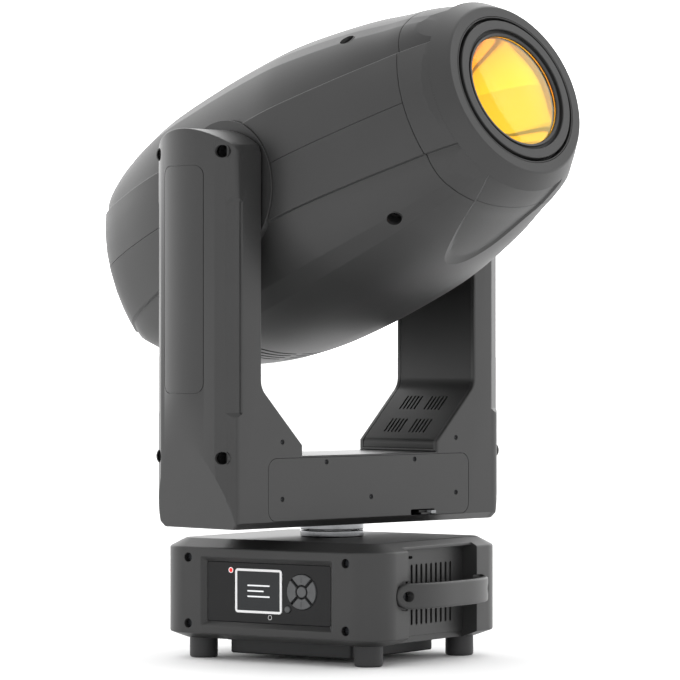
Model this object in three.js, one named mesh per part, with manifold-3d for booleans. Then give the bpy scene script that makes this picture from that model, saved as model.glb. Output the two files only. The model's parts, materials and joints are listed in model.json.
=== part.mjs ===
// Moving head light: base, yoke and head as separate pieces, in millimetres, +Z up.
//
// Heights in this file are measured from the floor that the feet stand on. The finished group is
// lowered so that its origin is the centre of the mounting plate's underside, on the pan axis.
// +X points along the base's side with a handle, and the control panel faces -Y.

import * as THREE from 'three';
import { mergeVertices } from 'three/addons/utils/BufferGeometryUtils.js';
import Module from 'manifold-3d';

const wasm = await Module();
wasm.setup();

const { Vector2, Vector3, Matrix4, MathUtils } = THREE;

// ---------------------------------------------------------------------------------------------
// Driving dimensions
// ---------------------------------------------------------------------------------------------

const GAP = 0.3; // clearance between pieces that touch
const PAN_REST = MathUtils.degToRad(79); // yoke's turn from the base's X axis
const TILT_REST = MathUtils.degToRad(69.8); // beam's lean from straight up

// Base
const BASE_X = 148.2; // half width
const BASE_Y = 128; // half depth
const BASE_CORNER = 36;
const BASE_BOTTOM = 22.8;
const BASE_SKIRT = 29.6; // where the bottom chamfer meets the walls
const BASE_SHOULDER = 124.4; // where the top chamfer starts
const BASE_TOP = 133.9;
const BASE_CHAMFER = 18.5;
const BASE_FLOOR_Z = 26.8; // inside the housing
const BASE_CEILING_Z = 129.6;
const CAVITY_X = 121.5;
const CAVITY_Y = 115;
const POCKET_HALF = 69; // half width of the side pocket behind each handle
const POCKET_X = 126.6;
const POCKET_CEILING = 125.3;
const POCKET_LIP_X = 140.4;
const VENT_FACE_X = 129.2;
const PLATE_HALF = 82; // mounting plate under the base
const PLATE_BOTTOM = 5.3;
const FOOT_X = 110.8;
const FOOT_Y = 91.3;
const FOOT_RADIUS = 15.7;
const SCREW_RECESS = { x: 105.4, heights: [40.1, 113], radius: 5 };
const VENT = { columns: 10, pitch: 9.8, halfWidth: 1.9, rows: [[41.8, 70], [80, 108.1]] };
const PAN_BORE = 27; // hole in the housing's top for the spindle
const PAN_PULLEY_RADIUS = 48;
const PAN_PULLEY_LOW = 201;

// Control panel
const PANEL_Y = -122.4;
const PANEL_X = 82.6;
const PANEL_LOW = 43.6;
const PANEL_HIGH = 109.2;
const PANEL_THICK = 2.6;
const RECESS_BEVEL = 5.6;
const DISPLAY = { left: -45.2, right: 18.1, low: 53.9, high: 103 };
const PAD_X = 44.9; // centre of the round five-way pad
const PAD_Z = 79.7;
const PAD_RADIUS = 19;
const PAD_CENTRE_RADIUS = 6;
const MENU_BUTTON = { x: 26, z: 60, radius: 3.6 };
const STATUS_LIGHT = { x: -50.7, z: 100.4, radius: 3 };
const KEY_PROUD = 2;
const CONTROL_BOARD = { halfX: 70, low: 50, high: 103, behind: 9, thick: 1.6 };

// Rear connectors
const SOCKET_Z = 76.4;
const POWER_INLET = { x: -52, radius: 13.8, mouth: 9.5, depth: 14 };
const DATA_IN = { x: 0, radius: 12.3, mouth: 8, depth: 12 };
const DATA_OUT = { x: 48, radius: 12.3, mouth: 8, depth: 12 };

// Handles
const HANDLE_Z = 76.6;
const HANDLE_WIDTH = 28;
const HANDLE_END = 91.3; // half length
const HANDLE_CROWN_X = 171.5;
const HANDLE_THICK = 9;
const HANDLE_FALL = 15.5; // how far the strap drops back at its screws
const HANDLE_SCREW = { y: 80, radius: 5.7, floorX: 150.5 };
const HANDLE_SEAT_X = 143.2;

// Yoke
const PAN_RING_RADIUS = 35.6;
const YOKE_BOTTOM = 149.7;
const YOKE_SKIRT = 156.7;
const CROSSBAR_TOP = 227.4;
const YOKE_X = 205; // half width of the frame, without the outer covers
const YOKE_Y = 62;
const ARM_INNER_X = 166.5;
const GUSSET_TOP = 301.8;
const GUSSET_X = 105;
const GUSSET_LOW = 239.2;
const ARM_TOP = 581.7;
const ARM_CROWN = 21.5; // drop of the arm's top from its middle to its edges
const COVER_CENTRE_X = 137.8; // centre of the outer cover's round section
const COVER_RADIUS = 91.3;
const COVER_WALL = 3;
const COVER_SLOPE = [[204.3, 158], [229.5, 245.3]]; // lower facet of an outer cover, [x, z]
const CROSSBAR_PLATE = { z: 191.2, halfX: 157, halfZ: 34.3, corner: 12, thick: 2.3 };
const HUB_HOLE_RADIUS = 36;
const COVER_SEAT = { depth: 2.6, halfWidth: 56, top: 556 };
const FACET_LOW = 275.5; // vertical facet along each outer edge of an arm
const FACET_HIGH = 501;
const PAN_LOCK_Z = 160.4;
const TILT_LOCK_Z = 450;

// Drives
const PINION_RADIUS = 12;
const PAN_MOTOR_X = -104;
const TILT_MOTOR_Z = 268;
const TILT_PULLEY_X = 200;
const TILT_PULLEY_RADIUS = 42;
const BELT_THICK = 1.6;

// Head, whose own axes are X along the tilt axis and Z along the beam
const TILT_Z = 518;
const HEAD_WALL = 3;
const HUB_RADIUS = 75;
const HUB_FACE_X = 164.6;
const SHAFT_RADIUS = 22;
const SHAFT_BORE = 14;
const SHAFT_END_RIGHT = 200;
const SHAFT_END_LEFT = 210;
const SIDE_HALF = 57.5; // half height of the raised side panels
const SIDE_STEP = 4;
const NOSE_SEAM = 246;
const NOSE_FACE = 298;
const NOSE_FACE_RADIUS = 96;
const LENS_RADIUS = 61.5;
const LOUVRE = { first: -112, pitch: 9.5, rows: 4, inner: 4, outer: 64, halfWidth: 1.5 };
const WHEEL_RADIUS = 62;
const WHEEL_X = 42;

// ---------------------------------------------------------------------------------------------
// Materials
// ---------------------------------------------------------------------------------------------

const FINISHES = {
  shell: { color: '#47484a', roughness: 0.62, metalness: 0.0 },
  yokeShell: { color: '#454648', roughness: 0.6, metalness: 0.0 },
  darkPanel: { color: '#222324', roughness: 0.55, metalness: 0.0 },
  glossPanel: { color: '#0e0f10', roughness: 0.12, metalness: 0.0 },
  greyKey: { color: '#86898c', roughness: 0.45, metalness: 0.0 },
  rubber: { color: '#161616', roughness: 0.85, metalness: 0.0 },
  polished: { color: '#c9ccd0', roughness: 0.2, metalness: 1.0 },
  zinc: { color: '#a4a8ac', roughness: 0.45, metalness: 1.0 },
  aluminium: { color: '#b9bcc0', roughness: 0.4, metalness: 1.0 },
  blackSteel: { color: '#1c1d1e', roughness: 0.5, metalness: 0.6 },
  board: { color: '#1f5a38', roughness: 0.6, metalness: 0.0 },
  belt: { color: '#1a1a1a', roughness: 0.8, metalness: 0.0 },
  screen: { color: '#2b3034', roughness: 0.1, metalness: 0.0 },
  lens: { color: '#c08b1e', roughness: 0.05, metalness: 0.0 },
  innerLens: { color: '#cfe0e4', roughness: 0.05, metalness: 0.0 },
};

// ---------------------------------------------------------------------------------------------
// Shapes
// ---------------------------------------------------------------------------------------------

/** Closed geometry to manifold solid: shared corners merged, collapsed triangles left out. */
function solidOf(geometry) {
  const bare = geometry.clone();
  bare.deleteAttribute('normal');
  bare.deleteAttribute('uv');
  const merged = mergeVertices(bare, 1e-3);
  const source = merged.index.array;
  const triangles = [];
  for (let i = 0; i < source.length; i += 3) {
    const [a, b, c] = [source[i], source[i + 1], source[i + 2]];
    if (a !== b && b !== c && c !== a) triangles.push(a, b, c);
  }
  const vertProperties = new Float32Array(merged.attributes.position.array);
  const triVerts = new Uint32Array(triangles);
  return new wasm.Manifold(new wasm.Mesh({ numProp: 3, vertProperties, triVerts }));
}

/** Manifold solid back to a geometry. */
function geometryOf(solid) {
  const { vertProperties, triVerts } = solid.getMesh();
  const geometry = new THREE.BufferGeometry();
  geometry.setAttribute('position', new THREE.BufferAttribute(vertProperties, 3));
  geometry.setIndex(new THREE.BufferAttribute(triVerts, 1));
  geometry.computeVertexNormals();
  return geometry;
}

/** Solid moved by a matrix. */
const moved = (geometry, matrix) => solidOf(geometry.clone().applyMatrix4(matrix));

/** Box from its two corners. */
function box(low, high) {
  const size = high.map((value, i) => value - low[i]);
  const geometry = new THREE.BoxGeometry(...size);
  geometry.translate(...low.map((value, i) => value + size[i] / 2));
  return solidOf(geometry);
}

/** Box about the Z axis from half widths and two heights. */
const tower = (halfX, halfY, low, high) => box([-halfX, -halfY, low], [halfX, halfY, high]);

/** Matrix that turns +Z to an axis letter and moves the start to a point. */
function along(axis, x, y, z) {
  const turn = new Matrix4();
  if (axis === 'x') turn.makeRotationY(Math.PI / 2);
  if (axis === 'y') turn.makeRotationX(-Math.PI / 2);
  return new Matrix4().makeTranslation(x, y, z).multiply(turn);
}

/** Cylinder that starts at a point and runs along an axis. */
function rod(radius, length, { axis = 'z', at = [0, 0, 0], sides = 20 } = {}) {
  const geometry = new THREE.CylinderGeometry(radius, radius, length, sides);
  geometry.rotateX(Math.PI / 2).translate(0, 0, length / 2);
  return moved(geometry, along(axis, ...at));
}

/** Flat outline pushed out along Z from a height. */
function prism(shape, low, high, curveSegments = 6) {
  const geometry = new THREE.ExtrudeGeometry(shape, {
    depth: high - low,
    bevelEnabled: false,
    curveSegments,
  });
  geometry.translate(0, 0, low);
  return solidOf(geometry);
}

/** Outline drawn as [y, z] and pushed out along X between two places. */
function prismX(shape, low, high, curveSegments = 4) {
  const geometry = new THREE.ExtrudeGeometry(shape, {
    depth: high - low,
    bevelEnabled: false,
    curveSegments,
  });
  geometry.applyMatrix4(new Matrix4().set(0, 0, 1, low, 1, 0, 0, 0, 0, 1, 0, 0, 0, 0, 0, 1));
  return solidOf(geometry);
}

/** Outline drawn as [x, z] and pushed out along Y between two places. */
function prismY(shape, low, high, curveSegments = 4) {
  const geometry = new THREE.ExtrudeGeometry(shape, {
    depth: high - low,
    bevelEnabled: false,
    curveSegments,
  });
  geometry.applyMatrix4(new Matrix4().set(1, 0, 0, 0, 0, 0, -1, high, 0, 1, 0, 0, 0, 0, 0, 1));
  return solidOf(geometry);
}

/** Outline through a list of points. */
const outline = (points) => new THREE.Shape(points.map(([x, y]) => new Vector2(x, y)));

/** Rectangle with round corners about a centre. */
function roundRect(cx, cy, halfX, halfY, radius) {
  const shape = new THREE.Shape();
  const corner = (x, y, start) => shape.absarc(x, y, radius, start, start + Math.PI / 2, false);
  corner(cx + halfX - radius, cy - halfY + radius, -Math.PI / 2);
  corner(cx + halfX - radius, cy + halfY - radius, 0);
  corner(cx - halfX + radius, cy + halfY - radius, Math.PI / 2);
  corner(cx - halfX + radius, cy - halfY + radius, Math.PI);
  shape.closePath();
  return shape;
}

/** Solid of revolution about Z from [radius, z] points. */
function turned(profile, sides = 32) {
  const points = profile.map(([radius, z]) => new Vector2(radius, z));
  const geometry = new THREE.LatheGeometry(points, sides);
  geometry.rotateX(Math.PI / 2);
  return orient(geometry);
}

/** Solid from a geometry whose faces may all point inwards. */
function orient(geometry) {
  const solid = solidOf(geometry);
  if (solid.volume() >= 0) return solid;
  const flipped = geometry.index ? geometry.toNonIndexed() : geometry.clone();
  const position = flipped.attributes.position;
  for (let i = 0; i < position.count; i += 3) {
    const first = new Vector3().fromBufferAttribute(position, i);
    const last = new Vector3().fromBufferAttribute(position, i + 2);
    position.setXYZ(i, last.x, last.y, last.z);
    position.setXYZ(i + 2, first.x, first.y, first.z);
  }
  return solidOf(flipped);
}

/** Skin over a list of rings with equal numbers of points, closed by a fan at each end. */
function loft(rings) {
  const count = rings[0].length;
  const corners = rings.flat();
  const index = [];
  for (let r = 0; r + 1 < rings.length; r += 1) {
    for (let i = 0; i < count; i += 1) {
      const next = (i + 1) % count;
      const [a, b] = [r * count + i, r * count + next];
      index.push(a, b, b + count, a, b + count, a + count);
    }
  }
  const cap = (ring, start, flip) => {
    const middle = ring.reduce((sum, p) => sum.add(p), new Vector3()).divideScalar(count);
    corners.push(middle);
    for (let i = 0; i < count; i += 1) {
      const next = (i + 1) % count;
      const edge = flip ? [start + next, start + i] : [start + i, start + next];
      index.push(...edge, corners.length - 1);
    }
  };
  cap(rings[0], 0, true);
  cap(rings.at(-1), (rings.length - 1) * count, false);
  const geometry = new THREE.BufferGeometry().setFromPoints(corners);
  geometry.setIndex(index);
  return orient(geometry);
}

/** Points of a rectangle with round corners, at one height. */
function cornerRing(halfX, halfY, radius, z, steps = 3) {
  const ring = [];
  const signs = [[1, 1], [-1, 1], [-1, -1], [1, -1]];
  signs.forEach(([sx, sy], quarter) => {
    for (let i = 0; i <= steps; i += 1) {
      const angle = (quarter + i / steps) * (Math.PI / 2);
      const x = sx * (halfX - radius) + radius * Math.cos(angle);
      const y = sy * (halfY - radius) + radius * Math.sin(angle);
      ring.push(new Vector3(x, y, z));
    }
  });
  return ring;
}

/** Join of several solids. */
const join = (...solids) => solids.reduce((sum, solid) => sum.add(solid));

/** First solid with all the others cut out of it. */
const cut = (body, ...tools) => tools.reduce((rest, tool) => rest.subtract(tool), body);

/** Solid mirrored to the other side of X = 0. */
function mirrorX(solid) {
  const geometry = geometryOf(solid);
  geometry.applyMatrix4(new Matrix4().makeScale(-1, 1, 1));
  return orient(geometry);
}

/** Solid mirrored to the other side of Y = 0. */
function mirrorY(solid) {
  const geometry = geometryOf(solid);
  geometry.applyMatrix4(new Matrix4().makeScale(1, -1, 1));
  return orient(geometry);
}

/** Named mesh of a solid in one of the finishes. */
function piece(name, solid, finish) {
  const mesh = new THREE.Mesh(geometryOf(solid), new THREE.MeshStandardMaterial(FINISHES[finish]));
  mesh.name = name;
  return mesh;
}

/** Closed loop of belt around two pulleys on a line along local X, as a flat outline. */
function beltOutline(radiusA, radiusB, distance) {
  const lean = Math.acos((radiusA - radiusB) / distance);
  const shape = new THREE.Shape();
  shape.absarc(0, 0, radiusA, lean, 2 * Math.PI - lean, false);
  shape.absarc(distance, 0, radiusB, -lean, lean, false);
  shape.closePath();
  return shape;
}

/** Belt solid around two pulleys, in the XY plane, from Z = 0 up. */
function beltLoop(radiusA, radiusB, distance, thickness, width) {
  const steps = 10;
  const outer = prism(beltOutline(radiusA + thickness, radiusB + thickness, distance), 0, width, steps);
  const inner = prism(beltOutline(radiusA, radiusB, distance), -1, width + 1, steps);
  return outer.subtract(inner);
}

// ---------------------------------------------------------------------------------------------
// Base
// ---------------------------------------------------------------------------------------------

/** Round-cornered block with chamfered top and bottom edges. */
function baseBlock() {
  const bottomInset = 19;
  return loft([
    cornerRing(BASE_X - bottomInset, BASE_Y - bottomInset, BASE_CORNER - bottomInset, BASE_BOTTOM),
    cornerRing(BASE_X, BASE_Y, BASE_CORNER, BASE_SKIRT),
    cornerRing(BASE_X, BASE_Y, BASE_CORNER, BASE_SHOULDER),
    cornerRing(BASE_X - BASE_CHAMFER, BASE_Y - BASE_CHAMFER, BASE_CORNER - BASE_CHAMFER, BASE_TOP),
  ]);
}

/** Space cut out of one side of the housing, behind a handle. */
function sidePocket() {
  const far = BASE_X + 12;
  const hollow = box([POCKET_X, -POCKET_HALF, 0], [far, POCKET_HALF, POCKET_CEILING]);
  const brow = box([POCKET_LIP_X, -POCKET_HALF, 0], [far, POCKET_HALF, BASE_TOP + 5]);
  const window = box([CAVITY_X - 2, -58, 38], [POCKET_X + 2, 58, 114]);
  const seatShape = roundRect(0, HANDLE_Z, HANDLE_END + 1.6, HANDLE_WIDTH / 2 + 1.6, 15.6);
  const seat = prismX(seatShape, HANDLE_SEAT_X, far);
  return join(hollow, brow, window, seat);
}

/** Sloped recess and window for the control panel or the rear connector panel. */
function panelRecess() {
  const rect = (halfX, low, high, y) => [
    new Vector3(-halfX, y, low),
    new Vector3(halfX, y, low),
    new Vector3(halfX, y, high),
    new Vector3(-halfX, y, high),
  ];
  const spread = RECESS_BEVEL + 1;
  const slope = loft([
    rect(PANEL_X, PANEL_LOW, PANEL_HIGH, PANEL_Y),
    rect(PANEL_X + spread, PANEL_LOW - spread, PANEL_HIGH + spread, PANEL_Y - spread),
  ]);
  const back = PANEL_Y + PANEL_THICK;
  const seat = box([-PANEL_X, PANEL_Y - 1, PANEL_LOW], [PANEL_X, back, PANEL_HIGH]);
  const margin = 6;
  const window = box(
    [-PANEL_X + margin, back - 1, PANEL_LOW + margin],
    [PANEL_X - margin, -CAVITY_Y + 2, PANEL_HIGH - margin],
  );
  return join(slope, seat, window);
}

/** Cast housing of the base, open underneath. */
function baseHousing() {
  const cavity = loft([
    cornerRing(CAVITY_X, CAVITY_Y, 24, BASE_FLOOR_Z),
    cornerRing(CAVITY_X, CAVITY_Y, 24, BASE_CEILING_Z),
  ]);
  const underHole = tower(PLATE_HALF - 6, PLATE_HALF - 6, 0, BASE_FLOOR_Z + 1);
  const spindleHole = rod(PAN_BORE, 30, { at: [0, 0, BASE_CEILING_Z - 10], sides: 28 });
  const pocket = sidePocket();
  const recess = panelRecess();
  let housing = cut(baseBlock(), cavity, underHole, spindleHole);
  housing = cut(housing, pocket, mirrorX(pocket), recess, mirrorY(recess));
  for (const x of [-SCREW_RECESS.x, SCREW_RECESS.x]) {
    for (const z of SCREW_RECESS.heights) {
      const front = rod(SCREW_RECESS.radius, 6, { axis: 'y', at: [x, -BASE_Y - 1, z], sides: 10 });
      housing = cut(housing, front, mirrorY(front));
    }
  }
  return housing;
}

/** Slotted plate that closes one side of the base. */
function ventPanel() {
  const half = POCKET_HALF - GAP;
  let panel = box([POCKET_X + GAP, -half, 30], [VENT_FACE_X, half, POCKET_CEILING - GAP]);
  for (let column = 0; column < VENT.columns; column += 1) {
    const y = (column - (VENT.columns - 1) / 2) * VENT.pitch;
    for (const [low, high] of VENT.rows) {
      const [left, right] = [y - VENT.halfWidth, y + VENT.halfWidth];
      panel = cut(panel, box([POCKET_X - 1, left, low], [VENT_FACE_X + 1, right, high]));
    }
  }
  return panel;
}

/** Pressed steel tray under the housing. */
function mountingPlate() {
  const flange = tower(PLATE_HALF + 3, PLATE_HALF + 3, BASE_BOTTOM - 2.8, BASE_BOTTOM - GAP);
  const tray = tower(PLATE_HALF, PLATE_HALF, PLATE_BOTTOM, BASE_BOTTOM - 2);
  const hollow = tower(PLATE_HALF - 6, PLATE_HALF - 6, PLATE_BOTTOM + 3, BASE_BOTTOM + 1);
  return cut(join(flange, tray), hollow);
}

/** Rubber foot with a rounded lower edge. */
function foot() {
  const [wide, top] = [FOOT_RADIUS, BASE_BOTTOM - GAP];
  return turned([[0, 0], [wide - 2.4, 0], [wide - 0.7, 0.9], [wide, 2.6], [wide, top], [0, top]], 20);
}

/** Bowed strap handle on the +X side. */
function strapHandle() {
  const steps = 10;
  const outer = [];
  const inner = [];
  for (let i = 0; i <= steps; i += 1) {
    const y = HANDLE_END * (2 * (i / steps) - 1);
    const fall = HANDLE_FALL * Math.abs(y / HANDLE_SCREW.y) ** 3;
    outer.push([HANDLE_CROWN_X - fall, y]);
    const inside = HANDLE_CROWN_X - HANDLE_THICK - fall * 0.92;
    inner.unshift([Math.max(inside, 143.5), y * 0.985]);
  }
  const half = HANDLE_WIDTH / 2;
  const bow = prism(outline([...outer, ...inner]), HANDLE_Z - half, HANDLE_Z + half);
  const stadium = prismX(roundRect(0, HANDLE_Z, HANDLE_END, half, half - 0.01), 130, 180);
  const handle = bow.intersect(stadium);
  const { y, radius, floorX } = HANDLE_SCREW;
  const screwHole = (side) => rod(radius, 12, { axis: 'x', at: [floorX, side * y, HANDLE_Z], sides: 20 });
  return cut(handle, screwHole(-1), screwHole(1));
}

/** Outline of the display's rectangle, pulled in by an inset. */
function displayOutline(inset) {
  const midX = (DISPLAY.left + DISPLAY.right) / 2;
  const midZ = (DISPLAY.low + DISPLAY.high) / 2;
  const halfX = (DISPLAY.right - DISPLAY.left) / 2 - inset;
  const halfZ = (DISPLAY.high - DISPLAY.low) / 2 - inset;
  return roundRect(midX, midZ, halfX, halfZ, 4 - inset);
}

/** Gloss front plate with openings for the display, keys and status light. */
function controlPanel() {
  const back = PANEL_Y + PANEL_THICK - GAP;
  let panel = box([-PANEL_X + GAP, PANEL_Y, PANEL_LOW + GAP], [PANEL_X - GAP, back, PANEL_HIGH - GAP]);
  const display = prismY(displayOutline(0), PANEL_Y - 2, back + 2, 6);
  const hole = (x, z, radius, sides) => rod(radius, 8, { axis: 'y', at: [x, PANEL_Y - 3, z], sides });
  panel = cut(panel, display, hole(PAD_X, PAD_Z, PAD_RADIUS + 0.6, 32));
  panel = cut(panel, hole(MENU_BUTTON.x, MENU_BUTTON.z, MENU_BUTTON.radius + 0.5, 20));
  return cut(panel, hole(STATUS_LIGHT.x, STATUS_LIGHT.z, STATUS_LIGHT.radius + GAP, 20));
}

/** Display module with its clear window. */
const displayWindow = () => prismY(displayOutline(GAP), PANEL_Y - 0.4, PANEL_Y + 5.5, 6);

/** One arrow key of the round pad; quarter 0 is up and the others follow clockwise. */
function arrowKey(quarter) {
  const half = MathUtils.degToRad(39);
  const middle = Math.PI / 2 - quarter * (Math.PI / 2);
  const shape = new THREE.Shape();
  shape.absarc(PAD_X, PAD_Z, PAD_RADIUS, middle - half, middle + half, false);
  shape.absarc(PAD_X, PAD_Z, PAD_CENTRE_RADIUS + 2, middle + half * 0.82, middle - half * 0.82, true);
  shape.closePath();
  return prismY(shape, PANEL_Y - KEY_PROUD, PANEL_Y + 3.6, 8);
}

/** Round key that stands out of the panel. */
const roundKey = (x, z, radius) =>
  rod(radius, KEY_PROUD + 3.6, { axis: 'y', at: [x, PANEL_Y - KEY_PROUD, z], sides: 24 });

/** Connector plate in the rear of the base. */
function rearPanel() {
  const face = -PANEL_Y;
  const back = face - PANEL_THICK + GAP;
  const panel = box([-PANEL_X + GAP, back, PANEL_LOW + GAP], [PANEL_X - GAP, face, PANEL_HIGH - GAP]);
  const hole = ({ x, radius }) => rod(radius, 10, { axis: 'y', at: [x, back - 3, SOCKET_Z], sides: 20 });
  return cut(panel, hole(POWER_INLET), hole(DATA_IN), hole(DATA_OUT));
}

/** Round panel socket with an open mouth towards +Y. */
function panelSocket({ x, radius, mouth, depth }) {
  const y = -PANEL_Y;
  const face = y + 2.6;
  const half = radius + 3.5;
  const barrel = rod(radius - GAP, 22, { axis: 'y', at: [x, y - 20, SOCKET_Z], sides: 20 });
  const flange = box([x - half, y + GAP, SOCKET_Z - half], [x + half, face, SOCKET_Z + half]);
  const hollow = rod(mouth, depth + 4, { axis: 'y', at: [x, face - depth, SOCKET_Z], sides: 16 });
  return cut(join(barrel, flange), hollow);
}

/** Fixed hollow spindle with the large pan pulley on top. */
function panSpindle() {
  const wheel = PAN_PULLEY_RADIUS;
  const [low, high] = [PAN_PULLEY_LOW, PAN_PULLEY_LOW + 12];
  return turned([
    [15, 112], [52, 112], [52, 118], [26, 118], [26, low], [wheel, low], [wheel, high], [15, high], [15, 112],
  ], 24);
}

/** Half of the two-part polished collar between base and yoke. */
function panRing(low, high) {
  const lip = 1.2;
  return turned([
    [30, low], [PAN_RING_RADIUS - lip, low], [PAN_RING_RADIUS, low + lip],
    [PAN_RING_RADIUS, high - lip], [PAN_RING_RADIUS - lip, high], [30, high], [30, low],
  ], 32);
}

/** Circuit board behind the control panel. */
function controlBoard() {
  const { halfX, low, high, behind, thick } = CONTROL_BOARD;
  return box([-halfX, PANEL_Y + behind, low], [halfX, PANEL_Y + behind + thick, high]);
}

/** All pieces that stay with the base. */
function buildBase() {
  const base = new THREE.Group();
  const add = (name, solid, finish) => base.add(piece(name, solid, finish));
  const panel = ventPanel();
  const handle = strapHandle();
  add('base_housing', baseHousing(), 'shell');
  add('vent_panel_right', panel, 'shell');
  add('vent_panel_left', mirrorX(panel), 'shell');
  add('mounting_plate', mountingPlate(), 'blackSteel');
  add('handle_right', handle, 'shell');
  add('handle_left', mirrorX(handle), 'shell');
  [[1, -1], [1, 1], [-1, 1], [-1, -1]].forEach(([sx, sy], i) => {
    const mesh = piece(`foot_${i + 1}`, foot(), 'rubber');
    mesh.position.set(sx * FOOT_X, sy * FOOT_Y, 0);
    base.add(mesh);
  });
  add('control_panel', controlPanel(), 'glossPanel');
  add('display_window', displayWindow(), 'screen');
  ['up', 'right', 'down', 'left'].forEach((side, i) => add(`key_${side}`, arrowKey(i), 'greyKey'));
  add('key_enter', roundKey(PAD_X, PAD_Z, PAD_CENTRE_RADIUS), 'greyKey');
  add('key_menu', roundKey(MENU_BUTTON.x, MENU_BUTTON.z, MENU_BUTTON.radius), 'greyKey');
  add('control_board', controlBoard(), 'board');
  add('power_supply', box([-100, 10, 30], [70, 88, 66]), 'aluminium');
  add('rear_panel', rearPanel(), 'darkPanel');
  add('power_inlet', panelSocket(POWER_INLET), 'glossPanel');
  add('data_socket_in', panelSocket(DATA_IN), 'zinc');
  add('data_socket_out', panelSocket(DATA_OUT), 'zinc');
  add('pan_spindle', panSpindle(), 'aluminium');
  add('pan_ring_lower', panRing(BASE_TOP + GAP, 141.4), 'polished');
  return base;
}

// ---------------------------------------------------------------------------------------------
// Yoke
// ---------------------------------------------------------------------------------------------

/** Side view of an arm and the crossbar: shallow crown on top, chamfered edge below. */
function armSideOutline(inset = 0) {
  const half = YOKE_Y - inset;
  const top = ARM_TOP - inset;
  const crown = ARM_CROWN;
  const radius = (half * half + crown * crown) / (2 * crown);
  const swing = Math.asin(half / radius);
  const fillet = 6;
  const shape = new THREE.Shape();
  shape.moveTo(-half + 7, YOKE_BOTTOM + inset);
  shape.lineTo(half - 7, YOKE_BOTTOM + inset);
  shape.lineTo(half, YOKE_SKIRT + inset);
  shape.lineTo(half, top - crown - fillet);
  const lean = swing * 0.93;
  shape.absarc(0, top - radius, radius, Math.PI / 2 - lean, Math.PI / 2 + lean, false);
  shape.lineTo(-half, top - crown - fillet);
  shape.lineTo(-half, YOKE_SKIRT + inset);
  shape.closePath();
  return shape;
}

/** Front view of the U-shaped frame. */
function frameOutline() {
  const bottomX = YOKE_X - 6;
  const right = [
    [bottomX, YOKE_BOTTOM], [YOKE_X, YOKE_BOTTOM + 6], [YOKE_X, ARM_TOP + 5], [ARM_INNER_X, ARM_TOP + 5],
    [ARM_INNER_X, GUSSET_TOP], [GUSSET_X, GUSSET_LOW], [GUSSET_X, CROSSBAR_TOP],
  ];
  const left = right.map(([x, z]) => [-x, z]).reverse();
  return outline([...right, ...left]);
}

/** Long wedge that cuts the vertical facet into an arm's outer edge, at +X and +Y. */
function edgeWedge() {
  const corner = new Vector3(YOKE_X, YOKE_Y, 0);
  const onFace = new Vector3(-11.3, 0, 0);
  const onCover = new Vector3(9.1, -9.9, 0);
  const outward = new Vector3(30, 30, 0);
  const ring = (z, size) => {
    const at = (offset) => corner.clone().addScaledVector(offset, size).setZ(z);
    const lift = new Vector3(0.4, 0.4, 0).multiplyScalar(1 - size);
    return [at(onFace).add(lift), at(onCover).add(lift), corner.clone().add(outward).setZ(z)];
  };
  const run = 7.5;
  return loft([
    ring(FACET_LOW - run, 0.05), ring(FACET_LOW, 1), ring(FACET_HIGH, 1), ring(FACET_HIGH + run, 0.05),
  ]);
}

/** The wedge on all four outer edges. */
function edgeWedges() {
  const wedge = edgeWedge();
  const pair = join(wedge, mirrorY(wedge));
  return join(pair, mirrorX(pair));
}

/** Outline of the plate that closes the crossbar on its front and back. */
function crossbarPlate(inset) {
  const { z, halfX, halfZ, corner } = CROSSBAR_PLATE;
  return roundRect(0, z, halfX - inset, halfZ - inset, corner - inset);
}

/** Cast frame of the yoke: crossbar and both arms, hollow for the drives. */
function yokeFrame() {
  let frame = prismY(frameOutline(), -YOKE_Y, YOKE_Y);
  frame = frame.intersect(prismX(armSideOutline(), -YOKE_X - 1, YOKE_X + 1, 6));
  const crossCavity = tower(150, YOKE_Y + 1, 162, 221);
  const seatDepth = CROSSBAR_PLATE.thick + GAP;
  const plateSeats = [-1, 1].map((side) => {
    const near = side > 0 ? YOKE_Y - seatDepth : -YOKE_Y - 1;
    return prismY(crossbarPlate(0), near, near + seatDepth + 1);
  });
  const spindleHole = rod(28, 30, { at: [0, 0, YOKE_BOTTOM - 5], sides: 28 });
  frame = cut(frame, crossCavity, ...plateSeats, spindleHole);
  const armCavity = prismX(armSideOutline(6), ARM_INNER_X + 6.5, YOKE_X + 5, 6);
  const aboveCrossbar = tower(300, 100, 176, 620);
  const hollow = armCavity.intersect(aboveCrossbar);
  const innerSeat = innerCoverSeat();
  const hubHole = rod(HUB_HOLE_RADIUS, 60, { axis: 'x', at: [ARM_INNER_X - 10, 0, TILT_Z], sides: 28 });
  frame = cut(frame, hollow, mirrorX(hollow), innerSeat, mirrorX(innerSeat), hubHole, mirrorX(hubHole));
  return cut(frame, edgeWedges(), panLockSlot(), tiltLockSlot());
}

/** Path of the inner cover in front view, from the crossbar up the arm. */
const INNER_PATH = [
  [GUSSET_X, CROSSBAR_TOP + 3], [GUSSET_X, GUSSET_LOW],
  [ARM_INNER_X, GUSSET_TOP], [ARM_INNER_X, COVER_SEAT.top],
];

/** Strip of the given thickness under the inner surface of an arm. */
function innerStrip(thickness, halfWidth) {
  const shift = thickness / (1 + Math.SQRT2);
  const back = INNER_PATH.map(([x, z], i) => [x + thickness, i === 1 || i === 2 ? z - shift : z]);
  return prismY(outline([...INNER_PATH, ...back.reverse()]), -halfWidth, halfWidth);
}

/** Seat cut in the frame for an inner cover, at +X. */
const innerCoverSeat = () => innerStrip(COVER_SEAT.depth, COVER_SEAT.halfWidth);

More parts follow.
